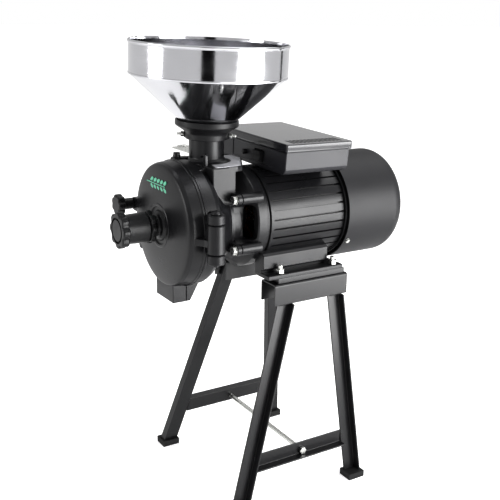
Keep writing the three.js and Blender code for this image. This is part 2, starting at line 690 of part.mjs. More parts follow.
function leg(side, topY, footY) {
  const top = new THREE.Vector3(side * LEG_TOP_X, topY, LEG_Z_TOP);
  const foot = new THREE.Vector3(side * LEG_FOOT_X, footY, 0);
  const along = new THREE.Vector3().subVectors(top, foot).normalize();
  const across = new THREE.Vector3(0, side, 0).addScaledVector(along, -along.y * side).normalize();
  const out = new THREE.Vector3().crossVectors(across, along).normalize();
  const h = LEG_WIDTH / 2;
  const shape = new THREE.Shape([
    [-h, -PLATE], [h, -PLATE], [h, LEG_FLANGE - PLATE],
    [h - PLATE, LEG_FLANGE - PLATE], [h - PLATE, 0], [-h, 0],
  ].map(([u, v]) => new THREE.Vector2(u, v)));
  const length = 470;
  const angle = new THREE.ExtrudeGeometry(shape, { depth: length, bevelEnabled: false });
  angle.translate(0, 0, -60);
  angle.applyMatrix4(new THREE.Matrix4().makeBasis(across, out, along).setPosition(foot));
  const flangeRoom = side > 0 ? block(SADDLE_OUTER - PLATE - GAP, 200, -300, 300, 333.7, 500)
    : block(-200, -SADDLE_OUTER + PLATE + GAP, -300, 300, 333.7, 500);
  const below = block(-300, 300, -300, 300, -200, 3.3);
  const above = block(-300, 300, -300, 300, 357, 600);
  return cut(angle, below, above, flangeRoom);
}

// Rubber cap with a socket a little larger than the leg all round.
function footCap(side, topY, footY) {
  const slope = (footY - topY) / LEG_Z_TOP;
  const x = side * (LEG_FOOT_X + 5);
  const y = footY - slope * 6;
  const pad = block(x - 14, x + 14, y - 16, y + 16, 0, 11);
  const legShape = leg(side, topY, footY);
  const swollen = [legShape.clone().translate(0, 0, -0.32)];
  for (const dx of [-0.35, 0.35]) {
    for (const dy of [-0.35, 0.35]) swollen.push(legShape.clone().translate(dx, dy, 0));
  }
  return cut(pad, ...swollen);
}

function legYAt(topY, footY, z) {
  return footY + ((topY - footY) * z) / LEG_Z_TOP;
}

function legXAt(z) {
  return LEG_FOOT_X + ((LEG_TOP_X - LEG_FOOT_X) * z) / LEG_Z_TOP;
}

function crossbar(side) {
  const z = BAR_TOP - BAR_HEIGHT / 2;
  const x = legXAt(z);
  const web = block(x - PLATE, x, -160, 160, BAR_TOP - BAR_HEIGHT, BAR_TOP);
  const flangeZ = side > 0 ? BAR_TOP - BAR_HEIGHT : BAR_TOP - PLATE;
  const flange = block(x - PLATE, x + 14, -160, 160, flangeZ, flangeZ + PLATE);
  const bar = join(web, flange);
  if (side < 0) bar.scale(-1, 1, 1);
  const hole = rod('x', 4.4, -200, 200, ROD_Y, ROD_Z, 16);
  const y0 = legYAt(FRONT_LEG_TOP_Y, FRONT_LEG_FOOT_Y, z);
  const y1 = legYAt(REAR_LEG_TOP_Y, REAR_LEG_FOOT_Y, z);
  const front = (FRONT_LEG_TOP_Y - FRONT_LEG_FOOT_Y) / LEG_Z_TOP;
  const rear = (REAR_LEG_TOP_Y - REAR_LEG_FOOT_Y) / LEG_Z_TOP;
  const room = 200;
  const keep = new THREE.Shape([
    [y0 + LEG_WIDTH / 2 + 1 - front * room, z - room], [y1 - LEG_WIDTH / 2 - 1 - rear * room, z - room],
    [y1 - LEG_WIDTH / 2 - 1 + rear * room, z + room], [y0 + LEG_WIDTH / 2 + 1 + front * room, z + room],
  ].map(([y, zz]) => new THREE.Vector2(y, zz)));
  const prism = new THREE.ExtrudeGeometry(keep, { depth: 400, bevelEnabled: false });
  prism.rotateX(Math.PI / 2);
  prism.rotateZ(Math.PI / 2);
  prism.translate(-200, 0, 0);
  return cut(common(bar, prism), hole);
}

function tieRod() {
  const end = legXAt(ROD_Z);
  const shank = rod('x', 4, -end - 12, end + 6, ROD_Y, ROD_Z, 16);
  return join(shank, rod('x', 6.4, end + GAP, end + 6, ROD_Y, ROD_Z, 6));
}

function tieRodNut() {
  const end = legXAt(ROD_Z);
  const nut = rod('x', 6.4, -end - 7, -end - GAP, ROD_Y, ROD_Z, 6);
  return cut(nut, rod('x', 4 + GAP, -end - 20, -end + 5, ROD_Y, ROD_Z, 16));
}

// ---------------------------------------------------------------- assembly
add('hopper_funnel', hopperFunnel(), COLOUR.polished, 0.9, 0.15);
add('hopper_collar', hopperCollar(), COLOUR.plastic, 0.1, 0.5);
add('thumb_shank_near', thumbShank(SCREW_TURNS[0]), COLOUR.steel, 0.9, 0.3);
add('thumb_wing_near', thumbWing(SCREW_TURNS[0]), COLOUR.steel, 0.9, 0.3);
add('thumb_shank_far', thumbShank(SCREW_TURNS[1]), COLOUR.steel, 0.9, 0.3);
add('thumb_wing_far', thumbWing(SCREW_TURNS[1]), COLOUR.steel, 0.9, 0.3);
add('feed_gate', feedGate(), COLOUR.steel, 0.8, 0.4);
add('mill_housing', millHousing(), COLOUR.casting, 0.3, 0.5);
add('front_cover', frontCover(), COLOUR.casting, 0.3, 0.5);
add('hinge_pin', hingePin(), COLOUR.steel, 0.9, 0.3);
add('lock_stud', lockStud(), COLOUR.steel, 0.9, 0.4);
add('lock_knob', lockKnob(), COLOUR.plastic, 0.1, 0.5);
add('fixed_burr', fixedBurr(), COLOUR.plate, 0.7, 0.6);
add('rotating_burr', rotatingBurr(), COLOUR.plate, 0.7, 0.6);
add('feed_auger', feedAuger(), COLOUR.plate, 0.7, 0.5);
add('adjusting_screw', adjustingScrew(), COLOUR.steel, 0.9, 0.3);
add('lock_ring', lockRing(), COLOUR.plastic, 0.1, 0.5);
add('adjusting_knob', adjustingKnob(), COLOUR.plastic, 0.1, 0.5);
add('motor_shaft', motorShaft(), COLOUR.steel, 0.9, 0.3);
add('rotor_core', rotorCore(), COLOUR.plate, 0.7, 0.5);
add('stator_core', statorCore(), COLOUR.copper, 0.6, 0.5);
add('motor_frame', motorFrame(), COLOUR.casting, 0.3, 0.5);
add('front_end_shield', frontEndShield(), COLOUR.casting, 0.3, 0.5);
add('rear_end_shield', rearEndShield(), COLOUR.casting, 0.3, 0.5);
add('front_bearing', bearing(-52, 10.2), COLOUR.steel, 0.9, 0.3);
add('rear_bearing', bearing(115.5, 12.2), COLOUR.steel, 0.9, 0.3);
add('cooling_fan', coolingFan(), COLOUR.plastic, 0.1, 0.6);
add('fan_cowl', fanCowl(), COLOUR.paint, 0.4, 0.4);
for (const [name, x, z] of SHIELD_BOLTS) {
  add(`shield_bolt_${name}`, shieldBolt(x, SHAFT_HEIGHT + z), COLOUR.steel, 0.9, 0.3);
}
for (const [label, side] of [['near', 1], ['far', -1]]) {
  add(`${label}_rail`, rail(side), COLOUR.paint, 0.4, 0.5);
  add(`${label}_saddle`, saddle(side), COLOUR.paint, 0.4, 0.5);
  add(`foot_bolt_${label}_front`, footBolt(side, BOLT_YS[0]), COLOUR.steel, 0.9, 0.3);
  add(`foot_bolt_${label}_rear`, footBolt(side, BOLT_YS[1]), COLOUR.steel, 0.9, 0.3);
  add(`${label}_front_leg`, leg(side, FRONT_LEG_TOP_Y, FRONT_LEG_FOOT_Y), COLOUR.paint, 0.4, 0.5);
  add(`${label}_rear_leg`, leg(side, REAR_LEG_TOP_Y, REAR_LEG_FOOT_Y), COLOUR.paint, 0.4, 0.5);
  add(`${label}_front_foot`, footCap(side, FRONT_LEG_TOP_Y, FRONT_LEG_FOOT_Y), COLOUR.rubber, 0, 0.8);
  add(`${label}_rear_foot`, footCap(side, REAR_LEG_TOP_Y, REAR_LEG_FOOT_Y), COLOUR.rubber, 0, 0.8);
  add(`${label}_crossbar`, crossbar(side), COLOUR.paint, 0.4, 0.5);
}
add('tie_rod', tieRod(), COLOUR.steel, 0.9, 0.3);
add('tie_rod_nut', tieRodNut(), COLOUR.steel, 0.9, 0.3);
add('box_body', boxBody(), COLOUR.plastic, 0.1, 0.5);
add('box_lid', boxLid(), COLOUR.plastic, 0.1, 0.5);
add('rocker_switch', rockerSwitch(), COLOUR.plastic, 0.1, 0.4);
add('reset_button', resetButton(), COLOUR.plastic, 0.1, 0.4);
add('cable_gland', cableGland(), COLOUR.plastic, 0.1, 0.5);
add('start_capacitor', capacitor(13, 8, 66, -60), COLOUR.steel, 0.8, 0.4);
add('run_capacitor', capacitor(13, 8, 66, 60), COLOUR.steel, 0.8, 0.4);
add('terminal_block', terminalBlock(), COLOUR.plastic, 0, 0.6);

export default group;
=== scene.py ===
import json
import math

import bmesh
import bpy
from mathutils import Matrix, Vector


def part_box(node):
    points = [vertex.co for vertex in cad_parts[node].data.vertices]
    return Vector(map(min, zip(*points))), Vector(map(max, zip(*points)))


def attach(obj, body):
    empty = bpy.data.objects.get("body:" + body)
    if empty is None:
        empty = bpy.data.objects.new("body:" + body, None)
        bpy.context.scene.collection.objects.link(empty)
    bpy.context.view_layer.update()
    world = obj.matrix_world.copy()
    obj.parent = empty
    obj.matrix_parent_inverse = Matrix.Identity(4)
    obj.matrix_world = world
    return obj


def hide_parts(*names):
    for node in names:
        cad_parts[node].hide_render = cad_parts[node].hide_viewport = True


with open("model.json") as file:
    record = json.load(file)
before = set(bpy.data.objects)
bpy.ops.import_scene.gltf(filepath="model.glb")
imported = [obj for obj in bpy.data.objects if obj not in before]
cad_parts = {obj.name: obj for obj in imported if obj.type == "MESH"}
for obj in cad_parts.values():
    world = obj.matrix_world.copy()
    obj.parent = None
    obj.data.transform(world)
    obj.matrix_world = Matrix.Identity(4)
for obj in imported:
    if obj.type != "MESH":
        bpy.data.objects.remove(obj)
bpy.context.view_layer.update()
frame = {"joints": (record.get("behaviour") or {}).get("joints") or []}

# ------------------------------------------------------------ camera
# A short portrait lens a good metre off the hinge side, a little above the hopper's rim and
# looking down on the mill, with the slight roll of a camera held by hand.
def linked(name, data):
    """Object with its data, in the scene."""
    thing = bpy.data.objects.new(name, data)
    bpy.context.scene.collection.objects.link(thing)
    return thing


AZIMUTH, ELEVATION, ROLL = math.radians(58.3), math.radians(16.1), math.radians(0.8)
level = Vector((math.cos(AZIMUTH), math.sin(AZIMUTH), 0))
ahead = Vector((-math.sin(AZIMUTH), math.cos(AZIMUTH), 0))
forward = ahead * math.cos(ELEVATION) - Vector((0, 0, math.sin(ELEVATION)))
upright = level.cross(forward)
across = level * math.cos(ROLL) + upright * math.sin(ROLL)
upright = upright * math.cos(ROLL) - level * math.sin(ROLL)
lens = bpy.data.cameras.new("camera")
lens.lens, lens.sensor_width = 59.46, 36
camera = linked("camera", lens)
camera.matrix_world = Matrix((across, upright, -forward)).transposed().to_4x4()
camera.location = (1.1493, -0.7218, 0.7927)
bpy.context.scene.camera = camera


# ------------------------------------------------------------ studio
# A white sweep inside a bright tent: a large softbox on the hinge side, weaker ones overhead and
# in front, and a card near the floor. Steel picks up two black flags as dark stripes.
def linear(code):
    """Linear red, green, blue and alpha of an sRGB hex colour."""
    parts = [int(code[i : i + 2], 16) / 255 for i in (1, 3, 5)]
    return tuple(c / 12.92 if c <= 0.04045 else ((c + 0.055) / 1.055) ** 2.4 for c in parts) + (1,)


def put(tree, kind, inputs=None, **settings):
    """Adds a node with its settings, and sets or links its inputs; a node gives its first output."""
    node = tree.nodes.new(kind)
    for key, value in settings.items():
        setattr(node, key, value)
    for key, value in (inputs or {}).items():
        if isinstance(value, bpy.types.Node):
            value = value.outputs[0]
        if isinstance(value, bpy.types.NodeSocket):
            tree.links.new(value, node.inputs[key])
        else:
            node.inputs[key].default_value = value
    return node


def plain_sheet(name, corners, material):
    """Flat studio sheet that is no part of the mill."""
    mesh = bpy.data.meshes.new(name)
    mesh.from_pydata([Vector(c) for c in corners], [], [(0, 1, 2, 3)])
    mesh.materials.append(material)
    sheet = linked(name, mesh)
    return sheet


def new_material(name):
    """Empty node material and its tree."""
    material = bpy.data.materials.new(name)
    material.use_nodes = True
    material.node_tree.nodes.clear()
    return material, material.node_tree


def closed_material(material, shader):
    """Puts the shader on the material's surface."""
    put(material.node_tree, "ShaderNodeOutputMaterial", {"Surface": shader})
    return material


# White paper, lit a little from within so that it meets the white behind it without a line.
def white_paper():
    material, tree = new_material("white_paper_sweep")
    seen = put(tree, "ShaderNodeLightPath")
    glow = put(tree, "ShaderNodeMapRange", {"Value": seen.outputs["Is Camera Ray"], "To Min": 0.16,
               "To Max": 0.42})
    shader = put(tree, "ShaderNodeBsdfPrincipled", {"Base Color": linear("#FAFAFA"), "Roughness": 0.85,
                 "Emission Color": linear("#FFFFFF"), "Emission Strength": glow})
    return closed_material(material, shader)


# Black velvet: no gloss at all.
def black_velvet():
    material, tree = new_material("black_velvet_flag")
    return closed_material(material, put(tree, "ShaderNodeBsdfDiffuse", {"Color": linear("#0A0A0B")}))


plain_sheet("floor", [(-40, -40, 0), (40, -40, 0), (40, 40, 0), (-40, 40, 0)], white_paper())
velvet = black_velvet()
FUNNEL_LINE_Y = -0.096


def flag(name, bearing, distance, width, low, high):
    """Black card standing off the mill at a bearing, seen only in reflections."""
    out = Vector((math.cos(bearing), math.sin(bearing), 0))
    side = Vector((-out.y, out.x, 0)) * width / 2
    foot = Vector((0, FUNNEL_LINE_Y, 0)) + out * distance
    bottom, top = Vector((0, 0, low)), Vector((0, 0, high))
    corners = [foot - side + bottom, foot + side + bottom, foot + side + top, foot - side + top]
    card = plain_sheet(name, corners, velvet)
    card.visible_camera = card.visible_diffuse = card.visible_shadow = False


towards_camera = math.atan2(camera.location.y - FUNNEL_LINE_Y, camera.location.x)
FLAG_HEIGHT = 2.2
flag("flag_behind_camera", towards_camera - 0.02, 2.0, 0.62, 0.0, FLAG_HEIGHT)
flag("flag_at_right", towards_camera + math.radians(122), 1.9, 0.16, 0.0, FLAG_HEIGHT)

world = bpy.data.worlds.new("tent")
bpy.context.scene.world = world
world.use_nodes = True
world.node_tree.nodes.clear()
seen = put(world.node_tree, "ShaderNodeLightPath")
tent = put(world.node_tree, "ShaderNodeBackground", {"Color": linear("#FFFFFF"), "Strength": 0.78})
sweep = put(world.node_tree, "ShaderNodeBackground", {"Color": linear("#FFFFFF"), "Strength": 1.0})
both = put(world.node_tree, "ShaderNodeMixShader", {0: seen.outputs["Is Camera Ray"], 1: tent, 2: sweep})
put(world.node_tree, "ShaderNodeOutputWorld", {"Surface": both})
bpy.context.scene.view_settings.view_transform = "Standard"
bpy.context.scene.view_settings.gamma = 0.8


def softbox(name, place, aim, width, height, watts):
    """Area light aimed at a point, and never seen itself."""
    light = bpy.data.lights.new(name, "AREA")
    light.shape, light.size, light.size_y, light.energy = "RECTANGLE", width, height, watts
    box = linked(name, light)
    box.location = place
    box.rotation_euler = (Vector(aim) - Vector(place)).to_track_quat("-Z", "Y").to_euler()
    box.visible_camera = False


softbox("hinge_side_softbox", (2.2, 1.3, 0.75), (0, 0, 0.45), 1.8, 1.3, 95)
softbox("overhead_softbox", (0.1, 0.9, 2.4), (0, 0, 0.4), 1.8, 1.8, 26)
softbox("low_card", (1.15, 0.72, 0.03), (1.0, 0.62, 1.0), 1.2, 1.2, 34)
softbox("front_softbox", (-0.7, -2.4, 1.0), (0, 0, 0.45), 1.0, 1.0, 22)


# ------------------------------------------------------------ funnel
# A funnel spun and seamed from thin stainless sheet: a straight band with a rolled rim, a cone
# joined to it at a beaded crease, and a short spigot. It stands a little out of plumb in its cup.
MM = 0.001


def object_of(name, bm):
    """Object in the row frame from a shape drawn in millimetres."""
    bmesh.ops.recalc_face_normals(bm, faces=bm.faces)
    bm.transform(Matrix.Scale(MM, 4))
    mesh = bpy.data.meshes.new(name)
    bm.to_mesh(mesh)
    bm.free()
    return linked(name, mesh)


def rounded(points, steps=5, closed=True):
    """Outline whose (a, b, radius) corners are turned into arcs."""
    outline = []
    for i, point in enumerate(points):
        corner = Vector(point[:2])
        radius = point[2] if len(point) > 2 else 0
        if not radius or (not closed and i in (0, len(points) - 1)):
            outline.append(tuple(corner))
            continue
        before, after = Vector(points[i - 1][:2]) - corner, Vector(points[(i + 1) % len(points)][:2]) - corner
        half = before.angle(after) / 2
        reach = min(radius / math.tan(half), 0.48 * before.length, 0.48 * after.length)
        radius = reach * math.tan(half)
        middle = corner + (before.normalized() + after.normalized()).normalized() * radius / math.sin(half)
        spokes = [corner + way.normalized() * reach - middle for way in (before, after)]
        start = math.atan2(spokes[0].y, spokes[0].x)
        sweep_angle = (math.atan2(spokes[1].y, spokes[1].x) - start + math.pi) % (2 * math.pi) - math.pi
        for k in range(steps + 1):
            angle = start + sweep_angle * k / steps
            outline.append((middle.x + radius * math.cos(angle), middle.y + radius * math.sin(angle)))
    return outline


def turned(profile, axis="Y", centre=(0, 0), steps=96):
    """Closed profile of (radius, distance) points turned round an axis line."""
    bm = bmesh.new()
    loops = []
    for radius, along in profile:
        ring = []
        for k in range(steps if radius > 1e-4 else 1):
            a, b = radius * math.cos(2 * math.pi * k / steps), radius * math.sin(2 * math.pi * k / steps)
            spot = {"X": (along, centre[0] + a, centre[1] + b), "Y": (centre[0] + a, along, centre[1] + b),
                    "Z": (centre[0] + a, centre[1] + b, along)}[axis]
            ring.append(bm.verts.new(spot))
        loops.append(ring)
    for i in range(len(loops)):
        one, two = loops[i], loops[(i + 1) % len(loops)]
        if len(one) == 1 and len(two) == 1:
            continue
        for k in range(steps):
            corners = [one[k % len(one)], one[(k + 1) % len(one)], two[(k + 1) % len(two)], two[k % len(two)]]
            corners = [v for n, v in enumerate(corners) if v not in corners[:n]]
            bm.faces.new(corners)
    return bm


def baked(thing):
    """Makes what an object's modifiers give its plain mesh."""
    bpy.context.view_layer.update()
    mesh = bpy.data.meshes.new_from_object(thing.evaluated_get(bpy.context.evaluated_depsgraph_get()))
    thing.modifiers.clear()
    thing.data = mesh
    return thing


def crisp(thing, angle=32):
    """Smooth shading, broken at sharp edges, with flat faces kept flat beside their rounded edges."""
    bm = bmesh.new()
    bm.from_mesh(thing.data)
    for face in bm.faces:
        face.smooth = True
    for edge in bm.edges:
        edge.smooth = len(edge.link_faces) == 2 and edge.calc_face_angle(0) < math.radians(angle)
    bm.to_mesh(thing.data)
    bm.free()
    level_out = thing.modifiers.new("flat_faces", "WEIGHTED_NORMAL")
    level_out.keep_sharp = True
    return baked(thing)


def piece(thing, material, body, nodes=(), angle=32):
    """Finishes a piece: its shading, its material, and what it moves with and stands for."""
    crisp(thing, angle)
    thing.data.materials.clear()
    thing.data.materials.append(material)
    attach(thing, body)
    if nodes:
        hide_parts(*nodes)
    return thing


HOPPER_Y = -96.0
NECK_TOP = 602.0
lean = (Matrix.Translation((0, HOPPER_Y, NECK_TOP)) @ Matrix.Rotation(math.radians(2.1), 4, "Y")
        @ Matrix.Rotation(math.radians(-0.9), 4, "X") @ Matrix.Translation((0, -HOPPER_Y, -NECK_TOP)))


# Polished stainless sheet: mirror-bright with faint level lines left by spinning, which blur
# reflections a little up and down.
def polished_stainless():
    material, tree = new_material("polished_stainless_sheet")
    place = put(tree, "ShaderNodeTexCoord")
    spun = put(tree, "ShaderNodeMapping", {"Vector": place.outputs["Object"], "Scale": (14, 14, 900)})
    lines = put(tree, "ShaderNodeTexNoise", {"Vector": spun, "Scale": 1.0, "Detail": 3.0})
    smear = put(tree, "ShaderNodeTexNoise", {"Vector": place.outputs["Object"], "Scale": 26.0, "Detail": 2.0})
    mixed = put(tree, "ShaderNodeMath", {0: lines.outputs["Fac"], 1: smear.outputs["Fac"]},
                operation="MULTIPLY")
    rough = put(tree, "ShaderNodeMapRange", {"Value": mixed, "From Min": 0.12, "From Max": 0.42,
                "To Min": 0.07, "To Max": 0.17})
    bump = put(tree, "ShaderNodeBump", {"Height": lines.outputs["Fac"], "Strength": 0.12, "Distance": 0.0002})
    tint = put(tree, "ShaderNodeMix", {0: smear.outputs["Fac"], 6: linear("#C6C6C9"), 7: linear("#D2D2D5")},
               data_type="RGBA")
    shader = put(tree, "ShaderNodeBsdfPrincipled",
                 {"Base Color": tint.outputs[2], "Metallic": 1.0, "Roughness": rough, "Normal": bump})
    return closed_material(material, shader)


stainless = polished_stainless()
funnel_line = rounded([
    (19.6, 583), (20.8, 583), (20.8, 613.6, 3), (44.4, 626.8, 4), (122.2, 697.0, 1.5), (124.0, 697.2, 0.8),
    (124.4, 699.6, 0.8),
    (123.5, 700.6, 0.6), (123.5, 743.2, 0.8), (124.6, 744.0, 0.8), (125.5, 746.6, 1.2), (124.2, 748.9, 1.2),
    (122.4, 748.4, 0.8),
    (122.2, 744.0, 0.8), (122.2, 700.0, 0.8), (121.2, 697.8, 1.5), (43.2, 628.2, 4), (19.6, 614.4, 3),
], 4)
funnel = turned(funnel_line, "Z", (0, HOPPER_Y), 144)
funnel.transform(lean)
piece(object_of("spun_funnel", funnel), stainless, "funnel", ["hopper_funnel"])


# ------------------------------------------------------------ cup and thumb screws
# The black moulded cup that the funnel stands in. Its skirt slips over the mill's neck, and two
# zinc-plated wing screws in the skirt pinch it there.
def block(x0, x1, y0, y1, z0, z1, edge=0.0, steps=2):
    """Block between six planes with all its edges rounded."""
    bm = bmesh.new()
    bmesh.ops.create_cube(bm, size=1)
    bmesh.ops.scale(bm, vec=(x1 - x0, y1 - y0, z1 - z0), verts=bm.verts)
    bmesh.ops.translate(bm, vec=((x0 + x1) / 2, (y0 + y1) / 2, (z0 + z1) / 2), verts=bm.verts)
    if edge:
        bmesh.ops.bevel(bm, geom=bm.edges[:], offset=edge, segments=steps, profile=0.5, affect="EDGES")
    return bm


def pushed(outline, axis, low, high, edge=0.0, steps=2):
    """Outline pushed along an axis between two planes, with its two end edges rounded."""
    bm = bmesh.new()
    ends = []
    for plane in (low, high):
        ring = [{"X": (plane, a, b), "Y": (a, plane, b), "Z": (a, b, plane)}[axis] for a, b in outline]
        ends.append([bm.verts.new(spot) for spot in ring])
    caps = [bm.faces.new(ends[0]), bm.faces.new(ends[1])]
    count = len(outline)
    for k in range(count):
        bm.faces.new([ends[0][k], ends[0][(k + 1) % count], ends[1][(k + 1) % count], ends[1][k]])
    bmesh.ops.recalc_face_normals(bm, faces=bm.faces)
    if edge:
        rims = list({e for cap in caps for e in cap.edges})
        bmesh.ops.bevel(bm, geom=rims, offset=edge, segments=steps, profile=0.5, affect="EDGES")
    return bm


def rod(axis, radius, low, high, centre, edge=0.5, steps=48):
    """Round bar along an axis with eased ends."""
    line = rounded([(0, low), (radius, low, edge), (radius, high, edge), (0, high)], 2)
    return turned(line, axis, centre, steps)


def fused(name, parts, cuts=()):
    """One closed object: the parts joined, then the cuts taken away."""
    base = parts[0] if isinstance(parts[0], bpy.types.Object) else object_of(name, parts[0])
    base.name = name
    tools = []
    for operation, shapes in (("UNION", parts[1:]), ("DIFFERENCE", cuts)):
        for shape in shapes:
            tool = shape if isinstance(shape, bpy.types.Object) else object_of(name + "_tool", shape)
            step = base.modifiers.new(operation, "BOOLEAN")
            step.operation, step.solver, step.object = operation, "MANIFOLD", tool
            tools.append(tool)
    baked(base)
    for tool in tools:
        bpy.data.objects.remove(tool)
    return base


# Black coatings and plastics are one build-up: a slow patchiness in shade and gloss, a fine skin
# whose grain is given in millimetres, and on castings a paler shade on sharp edges, which stands
# both for rubbed paint and for a painted edge highlight.
def black_skin(name, dark, light, rough, grain_mm, depth_mm, patch_mm=60.0, coat=0.0, edge_wear_and_highlight=None):
    material, tree = new_material(name)
    place = put(tree, "ShaderNodeTexCoord")
    grain = put(tree, "ShaderNodeTexNoise", {"Vector": place.outputs["Object"], "Scale": 1000 / grain_mm,
                "Detail": 3.0, "Roughness": 0.55})
    patch = put(tree, "ShaderNodeTexNoise", {"Vector": place.outputs["Object"], "Scale": 1000 / patch_mm,
                "Detail": 4.0})
    shade = put(tree, "ShaderNodeMix", {0: patch.outputs["Fac"], 6: linear(dark), 7: linear(light)},
                data_type="RGBA")
    colour = shade.outputs[2]
    # Sharp edges are lightened by pointiness: partly rubbed paint, partly a painted edge highlight.
    if edge_wear_and_highlight:
        edges = put(tree, "ShaderNodeNewGeometry")
        rubbed_and_highlit_edges = put(tree, "ShaderNodeMapRange", {"Value": edges.outputs["Pointiness"], "From Min": 0.54,
                     "From Max": 0.66, "To Min": 0.0, "To Max": 0.5})
        colour = put(tree, "ShaderNodeMix", {0: rubbed_and_highlit_edges, 6: colour, 7: linear(edge_wear_and_highlight)},
                     data_type="RGBA").outputs[2]
    uneven = put(tree, "ShaderNodeMath", {0: grain.outputs["Fac"], 1: 0.35, 2: patch.outputs["Fac"]},
                 operation="MULTIPLY_ADD")
    gloss = put(tree, "ShaderNodeMapRange", {"Value": uneven, "From Min": 0.35, "From Max": 1.0,
                "To Min": rough[0], "To Max": rough[1]})
    bump = put(tree, "ShaderNodeBump", {"Height": grain.outputs["Fac"], "Strength": 0.6,
               "Distance": depth_mm * MM})
    shader = put(tree, "ShaderNodeBsdfPrincipled", {"Base Color": colour, "Roughness": gloss,
                 "Specular IOR Level": 0.4, "Coat Weight": coat, "Coat Roughness": 0.2, "Normal": bump})
    return closed_material(material, shader)


# Bare and plated metals are another: one pattern of marks, so many to the metre along X, Y and Z,
# gives both the shade and the relief.
def marked_metal(name, dark, light, marks, detail, rough, relief, depth_mm, metallic=1.0, coat=0.0, turn=0.0):
    material, tree = new_material(name)
    place = put(tree, "ShaderNodeTexCoord")
    laid = put(tree, "ShaderNodeMapping", {"Vector": place.outputs["Object"], "Rotation": (0, 0, turn),
               "Scale": marks})
    pattern = put(tree, "ShaderNodeTexNoise", {"Vector": laid, "Scale": 1.0, "Detail": detail})
    tint = put(tree, "ShaderNodeMix", {0: pattern.outputs["Fac"], 6: linear(dark), 7: linear(light)},
               data_type="RGBA")
    gloss = put(tree, "ShaderNodeMapRange", {"Value": pattern.outputs["Fac"], "To Min": rough[0],
                "To Max": rough[1]})
    bump = put(tree, "ShaderNodeBump", {"Height": pattern.outputs["Fac"], "Strength": relief,
               "Distance": depth_mm * MM})
    shader = put(tree, "ShaderNodeBsdfPrincipled", {"Base Color": tint.outputs[2], "Metallic": metallic,
                 "Roughness": gloss, "Coat Weight": coat, "Normal": bump})
    return closed_material(material, shader)


# Bright zinc plate: a cold grey metal with a patchy bloom that breaks up its shine.
zinc = marked_metal("bright_zinc_plate", "#BFC0BE", "#E2E2DE", (300, 300, 300), 4.0, (0.18, 0.38), 0.15, 0.1)
# Moulded nylon: a deep black that shines softly, its grain too fine to pick out.
cup_plastic = black_skin("moulded_black_nylon", "#131314", "#1B1B1D", (0.32, 0.5), 0.8, 0.02)
cup_line = rounded([
    (25, 610.9), (25, 613.4, 0.8), (47.4, 628.9, 1), (50.4, 629, 1.2), (50.5, 620.4, 3), (37.6, 612.4, 5),
    (34, 608, 4), (34, 599, 1.2),
    (30, 599, 0.8), (30, 610.9, 0.8),
], 4)
SCREW_TURNS = (58, 238)
SCREW_Z = 604.4


def aimed(bm, degrees):
    """Turns a shape drawn along +X about the neck, and leans it with the hopper."""
    bm.transform(Matrix.Translation((0, HOPPER_Y, 0)) @ Matrix.Rotation(math.radians(degrees), 4, "Z"))
    bm.transform(lean)
    return bm


cup = turned(cup_line, "Z", (0, HOPPER_Y), 96)
cup.transform(lean)
bosses = [aimed(rod("X", 5.2, 31, 35.8, (0, SCREW_Z), 0.8, 32), turn) for turn in SCREW_TURNS]
holes = [aimed(rod("X", 2.5, 20, 50, (0, SCREW_Z), 0, 24), turn) for turn in SCREW_TURNS]
piece(fused("funnel_cup", [cup, *bosses], holes), cup_plastic, "cup", ["hopper_collar"])

wing_outline = rounded([(39.5, -2.6, 1), (42, -4, 1.6), (46.6, -5.4, 2), (48, -2.6, 1.6), (45.6, 0, 2),
                       (48, 2.6, 1.6),
                        (46.6, 5.4, 2), (42, 4, 1.6), (39.5, 2.6, 1)], 4)
for label, turn in zip(("near", "far"), SCREW_TURNS):
    wing = pushed(wing_outline, "Z", SCREW_Z - 1.4, SCREW_Z + 1.4, 0.8)
    hub = rod("X", 4, 36.2, 41, (0, SCREW_Z), 0.8, 32)
    piece(fused(f"{label}_wing_head", [aimed(hub, turn), aimed(wing, turn)],
          [aimed(rod("X", 2.4, 30, 43.2, (0, SCREW_Z), 0, 24), turn)]),
          zinc, f"{label}_wing", [f"thumb_wing_{label}"])
    thread = rounded([(0, 28.9), (1.6, 28.9), *[(2.2 - 0.35 * (k % 2), 30.2 + 0.5 * k) for k in range(25)],
                     (0, 43)], 1)
    piece(object_of(f"{label}_screw_shank", aimed(turned(thread, "X", (0, SCREW_Z), 24), turn)), zinc,
          f"{label}_shank",
          [f"thumb_shank_{label}"])


# ------------------------------------------------------------ feed gate
# The shutter under the funnel: a strip of zinc-plated steel with a thick rounded grip on its end,
# drawn out to the far side so that grain can fall.
gate_strip = pushed(rounded([(-86, -115.6, 3), (-23.3, -115.6), (-23.3, -76.4), (-86, -76.4, 3)], 3), "Z",
                    572.6, 574.8, 0.4)
grip = pushed(rounded([(-90, 568.7, 3), (-80.2, 568.7, 1), (-80.2, 576.8, 2), (-90, 576.8, 3)], 3), "Y",
              -103.8, -88.2, 1.2)
piece(fused("feed_gate_strip", [gate_strip, grip]), zinc, "gate", ["feed_gate"])


# ------------------------------------------------------------ front cover
# The cast front half of the grinding head, enamelled satin black: a shallow dish with a turned
# ring round its hub, half of the flour spout, a hinge knuckle on an arm, and an ear for the clamp.
joints = {joint["name"]: joint for joint in frame["joints"]}
SHAFT_Z = joints["rotor_spin"]["pos_m"][2] / MM
SEAM_Y = -150.0
HINGE_X, HINGE_Y = (v / MM for v in joints["cover_swing"]["pos_m"][:2])
STUD_X, STUD_Z = joints["cover_wheel_turn"]["pos_m"][0] / MM, joints["cover_wheel_turn"]["pos_m"][2] / MM
AXIS = (0.0, SHAFT_Z)
# Satin enamel: smooth and quite glossy, letting the shape of the casting show in soft highlights.
# Its paler edge colour lights sharp edges: rubbed enamel and a painted edge highlight.
enamel = black_skin("satin_black_enamel_on_cast_iron", "#151517", "#1E1E20", (0.24, 0.4), 1.4, 0.03, 80,
                    edge_wear_and_highlight="#38383A")

